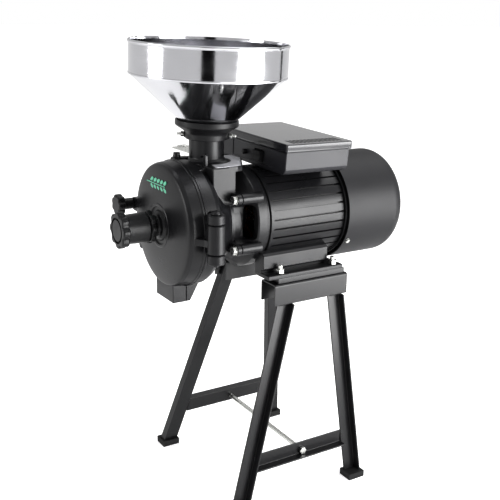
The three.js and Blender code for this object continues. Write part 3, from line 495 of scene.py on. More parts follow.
dish_line = rounded([
    (8.5, -191), (16.3, -191, 1.2), (16.6, -186.6, 2.5), (21.4, -184.8, 2), (23.6, -182.0, 1.2),
    (24.6, -180.0, 1),
    (29.6, -180.0, 1), (30.8, -182.6, 0.8), (34.2, -182.8, 1.4), (35.8, -181.9, 1.5),
    *[(35.8 + t * 56 / 8, -181.9 + 3.9 * (t / 8) ** 2.1) for t in range(1, 9)],
    (96.6, -176.4, 4.5), (98.9, -170.5, 3), (100.3, -156.2, 2), (100.5, -154.4, 0.6), (101.7, -153.4, 0.7),
    (101.7, -150, 0.6),
    (86, -150), (86, -169, 4), (34, -173), (8.5, -173),
], 4)
cover_body = turned(dish_line, "Y", AXIS, 160)
hinge_knuckle = turned(rounded([(4.9, 446.3), (12.2, 446.3), (13.5, 447.6, 0.6), (13.5, 489.4, 0.6),
                       (12.2, 490.7), (4.9, 490.7)], 2), "Z", (HINGE_X, HINGE_Y), 64)
arm = pushed(rounded([(86, -170, 1), (97, -171, 4), (112, -161, 6), (121, -159, 2), (121, -150),
             (86, -150)], 4), "Z", 456, 467, 1.6)
web = pushed(rounded([(92, 462), (118, 462), (118, 486, 3), (113, 484, 6), (104, 468, 8), (92, 468)], 4),
             "Y", -158, -151.5, 0.8)
ear = pushed(rounded([(-84, 468), (-84, 492), (-112, 491, 11), (-123.5, 480, 11), (-112, 469, 11)], 6), "Y",
             -177, -167, 1.4)
nub = rod("Y", 7.2, -176, -160, (-85, 414), 2)
spout_line = rounded([(-30.5, 344, 1), (30.5, 344, 1), (30.5, 396), (-30.5, 396)], 3)
spout_front = pushed(spout_line, "Y", -173.5, SEAM_Y, 1.2)
cover = fused("front_cover_casting", [cover_body, hinge_knuckle, arm, web, ear, nub, spout_front], [
    block(-27, 27, -170, -140, 330, 410, 2),
    rod("Y", 4.6, -190, -150, (STUD_X, STUD_Z), 0),
    block(HINGE_X - 15, HINGE_X + 15, HINGE_Y - 15, HINGE_Y + 15, 490.7, 500),
    rod("Z", 4.9, 440, 500, (HINGE_X, HINGE_Y), 0),
    turned([(0, -168), (85.9, -168), (85.9, -140), (0, -140)], "Y", AXIS, 160),
])
piece(cover, enamel, "cover", ["front_cover"], 28)


# ------------------------------------------------------------ ear of grain on the cover
# A small generic badge in pale green paint: an ear of grain lying level, two rows of kernels
# on a thin stalk, printed on the upper part of the dish.
def named_inputs(tree, sockets):
    """Adds named inputs and a geometry output to a node tree, and returns its input node."""
    for name, kind in sockets:
        tree.interface.new_socket(name, in_out="INPUT", socket_type=kind)
    tree.interface.new_socket("Geometry", in_out="OUTPUT", socket_type="NodeSocketGeometry")
    return put(tree, "NodeGroupInput").outputs


def closed_tree(tree, geometry, material):
    """Ends a node tree: its copies made real and given their material."""
    real = put(tree, "GeometryNodeRealizeInstances", {0: geometry})
    coated = put(tree, "GeometryNodeSetMaterial", {"Geometry": real, "Material": material})
    put(tree, "NodeGroupOutput", {"Geometry": coated})
    return tree


def grown(name, tree, values, start=None):
    """Object that a node tree makes from its named inputs, kept as a plain mesh."""
    thing = linked(name, start or bpy.data.meshes.new(name))
    step = thing.modifiers.new(tree.name, "NODES")
    step.node_group = tree
    for item in tree.interface.items_tree:
        if item.item_type == "SOCKET" and item.in_out == "INPUT" and item.name in values:
            step[item.identifier] = values[item.name]
    return baked(thing)


def ear_of_grain_tree():
    tree = bpy.data.node_groups.new("ear_of_grain", "GeometryNodeTree")
    given = named_inputs(tree, [("Kernels", "NodeSocketInt"), ("Kernel Pitch", "NodeSocketFloat"),
                         ("Kernel Length", "NodeSocketFloat"),
                                ("Splay", "NodeSocketFloat"), ("Paint Thickness", "NodeSocketFloat"),
                                ("Place", "NodeSocketVector"), ("Paint", "NodeSocketMaterial")])
    rows = []
    for side in (-1, 1):
        offset = put(tree, "ShaderNodeCombineXYZ", {"X": given["Kernel Pitch"]})
        line = put(tree, "GeometryNodeMeshLine", {"Count": given["Kernels"], "Offset": offset})
        lift = put(tree, "ShaderNodeMath", {0: given["Kernel Length"], 1: side * 0.38}, operation="MULTIPLY")
        shift = put(tree, "ShaderNodeCombineXYZ", {"Z": lift})
        moved = put(tree, "GeometryNodeSetPosition", {"Geometry": line, "Offset": shift})
        kernel = put(tree, "GeometryNodeMeshUVSphere",
                     {"Segments": 16, "Rings": 8, "Radius": given["Kernel Length"]})
        flatter = put(tree, "GeometryNodeTransform", {"Geometry": kernel, "Scale": (0.4, 0.06, 0.2)})
        tilt = put(tree, "ShaderNodeMath", {0: given["Splay"], 1: -side}, operation="MULTIPLY")
        turn = put(tree, "ShaderNodeCombineXYZ", {"Y": tilt})
        as_turn = put(tree, "FunctionNodeEulerToRotation", {0: turn})
        rows.append(put(tree, "GeometryNodeInstanceOnPoints",
                    {"Points": moved, "Instance": flatter, "Rotation": as_turn}))
    length = put(tree, "ShaderNodeMath", {0: given["Kernel Pitch"], 1: 5.6}, operation="MULTIPLY")
    stalk_size = put(tree, "ShaderNodeCombineXYZ",
                     {"X": length, "Y": given["Paint Thickness"], "Z": given["Paint Thickness"]})
    stalk = put(tree, "GeometryNodeMeshCube", {"Size": stalk_size})
    back = put(tree, "ShaderNodeMath", {0: given["Kernel Pitch"], 1: 1.2}, operation="MULTIPLY")
    to_middle = put(tree, "ShaderNodeCombineXYZ", {"X": back})
    stalk_there = put(tree, "GeometryNodeTransform", {"Geometry": stalk, "Translation": to_middle})
    together = put(tree, "GeometryNodeJoinGeometry", {0: stalk_there})
    for row in rows:
        tree.links.new(row.outputs[0], together.inputs[0])
    placed = put(tree, "GeometryNodeTransform", {"Geometry": together, "Translation": given["Place"]})
    return closed_tree(tree, placed, given["Paint"])


# Printed paint: flat mint green, thin enough to look a little uneven.
def printed_green():
    material, tree = new_material("pad_printed_green_paint")
    place = put(tree, "ShaderNodeTexCoord")
    thin = put(tree, "ShaderNodeTexNoise", {"Vector": place.outputs["Object"], "Scale": 700.0, "Detail": 2.0})
    tint = put(tree, "ShaderNodeMix", {0: thin.outputs["Fac"], 6: linear("#3C9C7A"), 7: linear("#86CDB2")},
               data_type="RGBA")
    shader = put(tree, "ShaderNodeBsdfPrincipled", {"Base Color": tint.outputs[2], "Roughness": 0.45})
    return closed_material(material, shader)


green_paint = printed_green()
badge = grown("ear_of_grain_badge", ear_of_grain_tree(), {
    "Kernels": 5, "Kernel Pitch": 11.5 * MM, "Kernel Length": 15 * MM, "Splay": 0.5,
    "Paint Thickness": 1.4 * MM,
    "Place": (-24 * MM, -180.7 * MM, 532 * MM), "Paint": green_paint})
piece(badge, green_paint, "cover")


# ------------------------------------------------------------ grinding head housing
# The rear half of the head, cast in one with the throat, the neck, the flange that bolts to the
# motor, the two outer hinge knuckles and the lug for the clamp. Same enamel as the cover.
rear_line = rounded([
    (0, -149.4), (101.7, -149.4, 0.6), (101.7, -146.2, 0.7), (100.4, -145.2, 0.6), (100, -129, 6),
    (95, -119.5, 6), (84, -111, 8),
    (70.5, -93, 8), (64, -85.5, 5), (64, -79.3), (0, -79.3),
], 4)
shell = turned(rear_line, "Y", AXIS, 160)
throat = pushed(rounded([(-58, 500, 4), (66, 500, 8), (66, 563, 3), (-58, 563, 3)], 4), "Y", -121, -79.3, 2.5)
ledge = pushed(rounded([(-48, -92), (66, -92), (66, -77, 4), (62, -66, 5), (0, -31, 8), (-48, -31, 4)], 4),
               "Z", 554, 563, 1.8)
neck = turned(rounded([(0, 540), (37, 540), (37, 563, 3), (31, 565.4, 3), (28, 569.5, 3), (28, 609.4, 0.8),
              (0, 609.4)], 4), "Z", (0, HOPPER_Y), 96)
slope = rounded([(SEAM_Y + 0.6, 344), (-142.5, 344, 1), (-127, 372, 5), (-122, 396), (SEAM_Y + 0.6, 396)], 4)
spout_rear = pushed(slope, "X", -30.5, 30.5, 1.2)
ends = [turned(rounded([(0, low), (12.4, low), (13.5, low + 1.2, 0.6), (13.5, high - 1.2, 0.6),
        (12.4, high), (0, high)], 2), "Z", (HINGE_X, HINGE_Y), 64)
        for low, high in ((492, 506), (430.5, 445))]
arms = [pushed(rounded([(74, -143, 2), (112, -142, 2), (HINGE_X, -142), (HINGE_X, -133, 3), (106, -129, 8),
        (74, -124, 2)], 4), "Z", low, high, 1.6)
        for low, high in ((493, 505), (431.5, 444))]
clamp_lug = pushed(rounded([(-84, 468), (-84, 492), (-112, 491, 10), (-122, 480, 10), (-112, 469, 10)], 6),
                   "Y", SEAM_Y + 0.8, -131, 1.4)
SHIELD_BOLTS = ((-78, -35), (-78, 46), (78, -35), (78, 46))
flange_lugs = []
for x, up in SHIELD_BOLTS:
    z = SHAFT_Z + up
    flange_lugs.append(block(min(x, x / 2), max(x, x / 2), -87, -79.3, z - 9, z + 9, 1.5))
    flange_lugs.append(rod("Y", 9, -87, -79.3, (x, z), 1, 40))
oil_boss = [turned(rounded([(0, 552), (6.2, 552), (6.2, 571, 1.5), (5.4, 573), (5.4, 576.4, 1), (0, 577)],
            3), "Z", (-22, -138), 48),
            pushed(rounded([(-31, 538, 2), (-13, 538, 2), (-13, 569, 4), (-31, 569, 4)], 3), "Y", -145.5,
                   -118.5, 2)]
lever_post = pushed(rounded([(31.5, 560), (40.5, 560), (39.4, 580, 3), (33.4, 580, 3)], 4), "Y", -120, -115,
                    1)
front_rib = pushed(rounded([(-150, 552), (-118, 563), (-118, 540), (-150, 540)], 2), "X", 30, 44, 1.5)
bolt_holes = [rod("Y", 4.5, -110, -70, (x, SHAFT_Z + up), 0, 32) for x, up in SHIELD_BOLTS]
housing = fused("grinding_head_casting", [
    shell, throat, ledge, neck, spout_rear, *ends, *arms, clamp_lug, *flange_lugs, *oil_boss, lever_post,
    front_rib], [
    turned([(0, -160), (86, -160), (86, -134), (0, -134)], "Y", AXIS, 160),
    rod("Y", 24, -136, -85, AXIS, 0), rod("Y", 8.6, -90, -60, AXIS, 0),
    rod("Z", 22, SHAFT_Z, 620, (0, HOPPER_Y), 0, 64),
    block(-27, 27, -160, -145.6, 330, 420), rod("Z", 5.0, 420, 520, (HINGE_X, HINGE_Y), 0),
    rod("Y", 4.8, -160, -120, (STUD_X, STUD_Z), 0),
    rod("Z", 14.6, 445.3, 491.7, (HINGE_X, HINGE_Y), 0),
    block(-45, 23, HOPPER_Y - 20.5, HOPPER_Y + 20.5, 572.3, 575.1), *bolt_holes,
])
piece(housing, enamel, "mill_and_stand", ["mill_housing"], 28)


# ------------------------------------------------------------ pale pad on the ledge, a painted reflection
# A thin pad on top of the throat's ledge, pale beside the enamel: its pale colour is a painted
# reflection of the bright surroundings, and its outline follows the bright patch. It is drawn as
# bare milled iron with fine parallel cutter marks across it.

# Pale iron, only half bright and streaked across by the cutter; its pale colour is a painted reflection.
painted_reflection_iron = marked_metal("bare_iron_with_painted_reflection", "#B4B4B8", "#CACACE", (1500, 60, 60), 2.0, (0.45, 0.45), 0.3,
                           0.2,
                           metallic=0.25, turn=0.5)
bright_patch_outline = rounded([(-30, -90), (63.5, -114, 2), (63.5, -78, 3), (59.5, -67.5, 4), (0, -34, 6),
                      (-30, -34, 3)], 4)
reflection_pad = fused("ledge_pad_painted_reflection", [pushed(bright_patch_outline, "Z", 562.6, 563.5, 0.3)],
                   [rod("Z", 39, 550, 570, (0, HOPPER_Y), 0, 96)])
piece(reflection_pad, painted_reflection_iron, "mill_and_stand")


# ------------------------------------------------------------ hinge pin, studs and spindle
# Turned steel parts: the cover's hinge pin with its domed head, enamelled with the castings, and
# the zinc-plated clamp stud and adjusting spindle. Threads are cut as plain rings.
pin_line = rounded([(0, 426), (4.7, 426, 1), (4.7, 506.4), (7.4, 506.4, 0.4), (7.4, 508.4, 1), (4, 511, 3),
                   (0, 511.4)], 4)
piece(object_of("hinge_pin_turned", turned(pin_line, "Z", (HINGE_X, HINGE_Y), 48)), enamel,
      "mill_and_stand", ["hinge_pin"])


def threaded(name, axis, radius, low, high, centre, pitch=1.25):
    """Round bar ringed like a thread."""
    turns = int((high - low - 2) / pitch)
    crests = [(radius - pitch * 0.45 * (k % 2), low + 1 + k * pitch / 2) for k in range(2 * turns)]
    return object_of(name, turned([(0, low), (radius - 0.9, low), *crests, (radius - 0.9, high), (0, high)],
                     axis, centre, 32))


piece(threaded("clamp_stud_thread", "Y", 4.1, -203.8, -140, (STUD_X, STUD_Z)), zinc, "cover_stud",
      ["lock_stud"])
piece(threaded("adjusting_spindle_thread", "Y", 7.9, -247, -162, AXIS, 1.5), zinc, "adjusting_spindle",
      ["adjusting_screw"])


# ------------------------------------------------------------ hand wheels
# Three lobed wheels cast in iron and dipped in dull black paint, a little rough to grip: the big
# adjusting wheel with a ring sunk in its face, the jam ring behind it, and the clamp's small star.

# Dipped paint on a rough casting: pitted and uneven, and grey on sharp edges, both where hands
# have rubbed the lobes and as a painted edge highlight.
dipped = black_skin("dipped_black_paint_on_rough_casting", "#111112", "#1C1C1E", (0.28, 0.46), 3.2, 0.3, 26,
                    edge_wear_and_highlight="#3C3C3E")


def lobed(radius, depth, lobes, centre, steps=144, start=0.0):
    """Outline of a hand wheel with soft lobes."""
    spots = []
    for k in range(steps):
        angle = 2 * math.pi * k / steps + start
        wave = 0.5 - 0.5 * math.cos(lobes * angle)
        spots.append((centre[0] + (radius - depth * wave**1.6) * math.cos(angle),
                     centre[1] + (radius - depth * wave**1.6) * math.sin(angle)))
    return spots


face = pushed(lobed(29, 4.2, 8, AXIS), "Y", -253, -240.5, 2.6, 4)
barrel = turned(rounded([(0, -243), (23.4, -243), (23.0, -238, 3), (24.2, -206.5, 1.5), (22.6, -204.4),
                (0, -204.4)], 4), "Y", AXIS, 96)
groove = turned(rounded([(16.6, -256), (20.6, -256), (20.2, -249.4, 1.2), (17.2, -249.4, 1.2)], 3), "Y",
                AXIS, 96)
wheel = fused("adjusting_wheel_casting", [face, barrel], [groove, rod("Y", 8.3, -247.4, -190, AXIS, 0)])
piece(wheel, dipped, "adjusting_wheel", ["adjusting_knob"])

flange = pushed(lobed(26.4, 3.6, 8, AXIS, start=0.2), "Y", -204, -195, 2, 3)
neck_ring = rod("Y", 16.2, -197, -191.3, AXIS, 1)
piece(fused("jam_ring_casting", [flange, neck_ring], [rod("Y", 8.3, -220, -180, AXIS, 0)]), dipped,
      "jam_ring", ["lock_ring"])

star = pushed(lobed(17.4, 2.2, 7, (STUD_X, STUD_Z), 126), "Y", -208, -195, 3, 4)
boss = turned(rounded([(0, -200), (10.5, -200), (9.2, -194, 3), (9.2, -177.4, 1), (0, -177.4)], 3), "Y",
              (STUD_X, STUD_Z), 64)
piece(fused("clamp_star_casting", [star, boss], [rod("Y", 4.5, -204.2, -150, (STUD_X, STUD_Z), 0)]), dipped,
      "cover_wheel", ["lock_knob"])


# ------------------------------------------------------------ front bell of the motor
# The motor's front end shield, cast and enamelled like the head: a bell with four rounded
# windows, a bearing seat in its hub, and four bosses that the grinding head is bolted to.
bell_line = rounded([
    (12.4, -78.6), (64, -78.6, 3), (70, -67, 8), (79.5, -53.4, 8), (84, -46, 3), (84, -29, 1.5),
    (79, -28, 1), (79, -23.1), (77, -23.1),
    (77, -39, 3), (74, -46, 6), (58, -60, 4), (26, -60, 2), (24, -55, 2), (24, -35), (19.4, -35),
    (19.4, -57), (12.4, -57),
], 4)
bell_bosses = [rod("Y", 9, -78.6, -41, (x, SHAFT_Z + up), 1.2, 40) for x, up in SHIELD_BOLTS]
windows = []
for k in range(4):
    half, rise = ((28, 5), (24, 0))[k % 2]
    window = block(54, 110, -84, -48.5, -half, half, 6, 4)
    window.transform(Matrix.Translation((0, 0, SHAFT_Z + rise)) @ Matrix.Rotation(k * math.pi / 2, 4, "Y"))
    windows.append(window)
bell = fused("front_bell_casting", [turned(bell_line, "Y", AXIS, 160)], windows)
hub_ring = turned(rounded([(26, -78.6), (58, -78.6, 2), (58, -62, 3), (26, -62)], 3), "Y", AXIS, 128)
bell = fused("front_bell_with_bosses", [bell, hub_ring, *bell_bosses],
             [rod("Y", 4.5, -100, -61, (x, SHAFT_Z + up), 0, 32) for x, up in SHIELD_BOLTS])
piece(bell, enamel, "mill_and_stand", ["front_end_shield"], 28)


# ------------------------------------------------------------ rear shield of the motor
# The plain iron disc that closes the motor's rear end and carries the second bearing, hidden
# under the fan cowl.
back_line = rounded([(12.4, 141), (60, 141, 3), (86, 133, 3), (86, 123.4, 0.8), (24, 123.4), (24, 111),
                    (19.4, 111), (19.4, 129), (12.4, 129)], 4)
piece(object_of("rear_shield_casting", turned(back_line, "Y", AXIS, 128)), enamel, "mill_and_stand",
      ["rear_end_shield"])


# ------------------------------------------------------------ finned motor frame
# The motor's cast aluminium frame in black enamel: a tube with shallow grooves between broad flat
# ribs, a foot along each side with a web above it, and one raised pad under the control box.
def blocks_round_shaft():
    """Node tree that sets blocks round the shaft line like spokes."""
    tree = bpy.data.node_groups.new("blocks_round_shaft", "GeometryNodeTree")
    given = named_inputs(tree, [("Count", "NodeSocketInt"), ("First Angle", "NodeSocketFloat"),
                         ("Distance", "NodeSocketFloat"),
                                ("Block Size", "NodeSocketVector"), ("Middle", "NodeSocketVector"),
                                ("Material", "NodeSocketMaterial")])
    spots = put(tree, "GeometryNodeMeshLine", {"Count": given["Count"], "Offset": (0, 0, 0)})
    number = put(tree, "GeometryNodeInputIndex")
    step = put(tree, "ShaderNodeMath", {0: 2 * math.pi, 1: given["Count"]}, operation="DIVIDE")
    angle = put(tree, "ShaderNodeMath", {0: number, 1: step, 2: given["First Angle"]},
                operation="MULTIPLY_ADD")
    turn = put(tree, "ShaderNodeCombineXYZ", {"Y": angle})
    as_turn = put(tree, "FunctionNodeEulerToRotation", {0: turn})
    one = put(tree, "GeometryNodeMeshCube", {"Size": given["Block Size"]})
    many = put(tree, "GeometryNodeInstanceOnPoints", {"Points": spots, "Instance": one, "Rotation": as_turn})
    reach = put(tree, "ShaderNodeCombineXYZ", {"X": given["Distance"]})
    out = put(tree, "GeometryNodeTranslateInstances",
              {"Instances": many, "Translation": reach, "Local Space": True})
    placed = put(tree, "GeometryNodeTransform", {"Geometry": out, "Translation": given["Middle"]})
    return closed_tree(tree, placed, given["Material"])


def softened(thing, width, steps=2, angle=35):
    """Rounds every edge of an object that is sharper than the angle."""
    bm = bmesh.new()
    bm.from_mesh(thing.data)
    bmesh.ops.remove_doubles(bm, verts=bm.verts, dist=1e-6)
    bmesh.ops.dissolve_limit(bm, angle_limit=math.radians(1), verts=bm.verts, edges=bm.edges)
    sharp = [e for e in bm.edges if len(e.link_faces) == 2 and e.calc_face_angle(0) > math.radians(angle)]
    bmesh.ops.bevel(bm, geom=sharp, offset=width * MM, segments=steps, profile=0.5, affect="EDGES",
                    clamp_overlap=True)
    bm.to_mesh(thing.data)
    bm.free()
    return thing


round_shaft = blocks_round_shaft()
grooves = grown("frame_grooves", round_shaft, {
    "Count": 33, "First Angle": math.radians(-4.4), "Distance": 82 * MM,
    "Block Size": (10 * MM, 143 * MM, 3.2 * MM),
    "Middle": (0, 54.5 * MM, SHAFT_Z * MM), "Material": enamel})
tube_line = rounded([(70, -22.7, 0.6), (82, -22.7, 1.2), (82, 123, 1.2), (70, 123, 0.6)], 3)
frame_tube = fused("frame_tube", [turned(tube_line, "Y", AXIS, 198)], [grooves])
foot_parts = []
for side in (-1, 1):
    flange = pushed(rounded([(side * 56, 379.3, 1), (side * 99, 379.3, 1), (side * 99, 386.5, 2),
                    (side * 56, 386.5, 1)], 3), "Y", -37, 111, 1.2)
    web_line = [(56, 385), (76, 385), (76, 391.5, 2), (82.6, 393, 2), (82.6, 415, 2), (79, 419, 2),
                (66, 425), (56, 418)]
    web_line = [(side * spot[0], *spot[1:]) for spot in web_line]
    foot_parts += [flange, pushed(rounded(web_line, 3), "Y", -37, 90, 1.2)]
feet = [fused(f"foot_{n}", [foot_parts[2 * n], foot_parts[2 * n + 1]],
              [rod("Y", 84.6, -61, -23.0, AXIS, 0, 96), rod("Y", 75, -23.4, 130, AXIS, 0, 96)]) for n in (0,
                  1)]
BOX_FRONT, BOX_BACK, BOX_BOTTOM, BOX_TOP = -15.5, 112.0, 550.4, 600.0
box_middle = (BOX_FRONT + BOX_BACK) / 2
box_lean = (Matrix.Translation((0, 0, SHAFT_Z)) @ Matrix.Rotation(math.radians(1.7), 4,
            "Y") @ Matrix.Translation((0, box_middle, BOX_BOTTOM - SHAFT_Z))
            @ Matrix.Rotation(math.radians(-0.7), 4, "X") @ Matrix.Translation((0, -box_middle, -BOX_BOTTOM)))


def boxed(bm):
    """Leans a shape with the control box, which sits a little skew on the motor."""
    bm.transform(box_lean)
    return bm


box_pad = boxed(block(-40, 40, 19.5, 82.5, 537, BOX_BOTTOM - 0.3, 1))
FOOT_SCREW_X, FOOT_SCREW_YS = 90.5, (-10, 95)
foot_holes = [rod("Z", 4.5, 370, 395, (side * FOOT_SCREW_X, y), 0, 32) for side in (-1,
              1) for y in FOOT_SCREW_YS]
motor_frame = fused("finned_motor_frame", [frame_tube, *feet, box_pad],
                    [rod("Y", 69.9, -30, 130, AXIS, 0, 198), *foot_holes])
piece(motor_frame, enamel, "mill_and_stand", ["motor_frame"], 28)


# ------------------------------------------------------------ stator
# Inside the frame: a ring of pressed steel laminations, with copper windings bulging out of its
# slots at both ends under brown varnish.

# Stacked laminations: thin dark and light lines, half a millimetre each, down the bore.
def laminated_steel():
    material, tree = new_material("stacked_steel_laminations")
    place = put(tree, "ShaderNodeTexCoord")
    along = put(tree, "ShaderNodeSeparateXYZ", {0: place.outputs["Object"]})
    saw = put(tree, "ShaderNodeMath", {0: along.outputs["Y"], 1: 0.5 * MM}, operation="PINGPONG")
    edge = put(tree, "ShaderNodeMapRange", {"Value": saw, "From Max": 0.5 * MM, "To Min": 0.2, "To Max": 1.0})
    tint = put(tree, "ShaderNodeMix", {0: edge, 6: linear("#33343A"), 7: linear("#6C6E74")}, data_type="RGBA")
    shader = put(tree, "ShaderNodeBsdfPrincipled",
                 {"Base Color": tint.outputs[2], "Metallic": 1.0, "Roughness": 0.42})
    return closed_material(material, shader)


stack_line = rounded([(46, 13), (69.6, 13, 0.6), (69.6, 85, 0.6), (46, 85)], 2)
slots = grown("stator_slots", round_shaft, {
    "Count": 24, "First Angle": 0.0, "Distance": 49 * MM, "Block Size": (14 * MM, 90 * MM, 3 * MM),
    "Middle": (0, 49 * MM, SHAFT_Z * MM), "Material": enamel})
piece(fused("stator_stack", [turned(stack_line, "Y", AXIS, 192)], [slots]), laminated_steel(),
      "mill_and_stand", ["stator_core"])
coils = [turned(rounded([(49, low, 3), (66, low, 4), (66, high, 4), (49, high, 3)], 5), "Y", AXIS,
         128) for low, high in ((3.2, 12.8), (85.2, 94.8))]
# Varnished copper wire: brown and glossy, ribbed by the lay of the wires.
copper = marked_metal("varnished_copper_wire", "#4A1C0C", "#B4602C", (260, 1400, 260), 2.0, (0.35, 0.35),
                      0.7, 0.4,
                      metallic=0.7, coat=0.6)
piece(fused("stator_end_windings", coils), copper, "mill_and_stand")


# ------------------------------------------------------------ bearings
# The two deep-groove ball bearings on the motor's shaft: ground steel rings with a row of balls
# in the gap between them.
def balls_round_shaft():
    tree = bpy.data.node_groups.new("balls_round_shaft", "GeometryNodeTree")
    given = named_inputs(tree, [("Balls", "NodeSocketInt"), ("Pitch Radius", "NodeSocketFloat"),
                         ("Ball Radius", "NodeSocketFloat"),
                                ("Middle", "NodeSocketVector"), ("Material", "NodeSocketMaterial")])
    circle = put(tree, "GeometryNodeMeshCircle",
                 {"Vertices": given["Balls"], "Radius": given["Pitch Radius"]})
    upright_ring = put(tree, "GeometryNodeTransform", {"Geometry": circle, "Rotation": (math.pi / 2, 0, 0),
                       "Translation": given["Middle"]})
    ball = put(tree, "GeometryNodeMeshIcoSphere", {"Radius": given["Ball Radius"], "Subdivisions": 3})
    row = put(tree, "GeometryNodeInstanceOnPoints", {"Points": upright_ring, "Instance": ball})
    return closed_tree(tree, row, given["Material"])


ball_row = balls_round_shaft()
for label, middle in (("front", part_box("front_bearing")), ("rear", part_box("rear_bearing"))):
    low, high = middle[0].y / MM, middle[1].y / MM
    rings = turned(rounded([(12.3, low, 0.5), (14.6, low, 0.3), (14.6, low + 1.5), (16.6, low + 1.5),
                   (16.6, low, 0.3), (19, low, 0.5),
                            (19, high, 0.5), (16.6, high, 0.3), (16.6, high - 1.5), (14.6, high - 1.5),
                            (14.6, high, 0.3), (12.3, high, 0.5)], 2), "Y", AXIS, 96)
    piece(object_of(f"{label}_bearing_rings", rings), zinc, "mill_and_stand", [f"{label}_bearing"])
    row = grown(f"{label}_bearing_balls", ball_row, {
        "Balls": 9, "Pitch Radius": 15.6 * MM, "Ball Radius": 1.6 * MM,
        "Middle": (0, (low + 1.6) * MM, SHAFT_Z * MM), "Material": zinc})
    piece(row, zinc, "mill_and_stand")


# ------------------------------------------------------------ rotor, shaft and fan
# What the motor turns: a ground steel shaft with its steps, an aluminium-caged rotor pressed on
# it, grooved over its thirty bars, and a moulded fan clamped on behind.
shaft_line = rounded([(0, -156.6), (6, -156.6, 0.8), (6, -147), (8, -147, 0.6), (8, -59, 0.5),
                     (10, -57, 0.5), (10, -29), (12, -27, 0.5),
                      (12, 133, 0.5), (10, 135), (10, 195, 1), (0, 195)], 2)
piece(object_of("turned_motor_shaft", turned(shaft_line, "Y", AXIS, 64)), zinc, "rotor", ["motor_shaft"])


# Turned rotor steel: a dull grey with fine rings left by the lathe, drawn coarse enough to show.
rotor_steel = marked_metal("turned_rotor_steel_and_aluminium", "#7D7F83", "#A9ABAE", (20, 2600, 20), 2.0,
                           (0.34, 0.34), 0.3, 0.2)
core_line = rounded([(12.3, 5), (43, 5, 1.5), (45.2, 9, 1), (45.2, 89, 1), (43, 93, 1.5), (12.3, 93)], 3)
bar_grooves = grown("rotor_bars", round_shaft, {
    "Count": 30, "First Angle": 0.05, "Distance": 45.4 * MM, "Block Size": (1.2 * MM, 70 * MM, 1.6 * MM),
    "Middle": (0, 49 * MM, SHAFT_Z * MM), "Material": zinc})
piece(fused("caged_rotor", [turned(core_line, "Y", AXIS, 180)], [bar_grooves]), rotor_steel, "rotor",
      ["rotor_core"])


def cad_copy(name, node):
    """Copy of a CAD node as one object, to be worked into a finer piece."""
    source = bpy.data.objects[node]
    placed = source.data.copy()
    placed.transform(source.matrix_world)
    bm = bmesh.new()
    bm.from_mesh(placed)
    bpy.data.meshes.remove(placed)
    mesh = bpy.data.meshes.new(name)
    bm.to_mesh(mesh)
    bm.free()
    return linked(name, mesh)


# Moulded polypropylene: flatter and greyer than the nylon cup.
fan_plastic = black_skin("moulded_black_polypropylene", "#151516", "#1C1C1E", (0.4, 0.55), 1.2, 0.02)
piece(softened(cad_copy("moulded_cooling_fan", "cooling_fan"), 0.7), fan_plastic, "rotor", ["cooling_fan"])


# ------------------------------------------------------------ burrs and feed screw
# The working parts, cast in hard iron and left bare: the screw that pushes grain forward, and two
# toothed plates that shear it, one fixed in the housing and one turning against it.

# Bare hard iron: mid grey and grainy, with slow stains where it has dulled.
def grey_iron():
    material, tree = new_material("bare_hard_grey_iron")
    place = put(tree, "ShaderNodeTexCoord")
    grain = put(tree, "ShaderNodeTexNoise", {"Vector": place.outputs["Object"], "Scale": 900.0,
                "Detail": 4.0})
    stain = put(tree, "ShaderNodeTexNoise", {"Vector": place.outputs["Object"], "Scale": 60.0, "Detail": 3.0})
    tint = put(tree, "ShaderNodeMix", {0: stain.outputs["Fac"], 6: linear("#5A5B5D"), 7: linear("#7A7A78")},
               data_type="RGBA")
    rough = put(tree, "ShaderNodeMapRange", {"Value": grain.outputs["Fac"], "To Min": 0.38, "To Max": 0.62})
    bump = put(tree, "ShaderNodeBump", {"Height": grain.outputs["Fac"], "Strength": 0.5, "Distance": 0.0003})
    shader = put(tree, "ShaderNodeBsdfPrincipled",
                 {"Base Color": tint.outputs[2], "Metallic": 1.0, "Roughness": rough, "Normal": bump})
    return closed_material(material, shader)


iron = grey_iron()
piece(softened(cad_copy("cast_feed_screw", "feed_auger"), 0.5, 2, 50), iron, "rotor", ["feed_auger"],
      60)


# Each set of cuts: how many times the count, its middle and length along the radius, width, depth.
CUTS = ((1, 44, 24, 3.2, 1.8), (4, 62, 14, 1.4, 0.8))


def burr_plate(name, low, high, face, count, start, bore):
    """Toothed ring: coarse straight cuts near the middle, four times as many fine ones near the rim."""
    ring_line = rounded([(bore, low, 0.5), (60, low, 0.8), (60, high, 0.8), (bore, high, 0.5)], 2)
    cuts = [grown(f"{name}_{n}_cuts", round_shaft, {
        "Count": times * count, "First Angle": start, "Distance": centre * MM,
        "Block Size": (length * MM, depth * 2 * MM, width * MM),
        "Middle": (0, face * MM, SHAFT_Z * MM), "Material": iron})
            for n, (times, centre, length, width, depth) in enumerate(CUTS)]
    plate = fused(name, [turned(ring_line, "Y", AXIS, 180)], cuts[:1])
    return fused(name + "_cut", [plate], cuts[1:])


piece(burr_plate("fixed_burr_plate", -148, -134.3, -148, 12, 0, 26), iron, "mill_and_stand", ["fixed_burr"])
piece(burr_plate("turning_burr_plate", -161, -149, -149, 12, -0.2, 6.4), iron, "rotor", ["rotating_burr"])


# ------------------------------------------------------------ fan cowl
# The cup pressed from thin steel over the fan, powder-coated black, with a generous radius round
# its rear edge and a ring of air slots in the back.

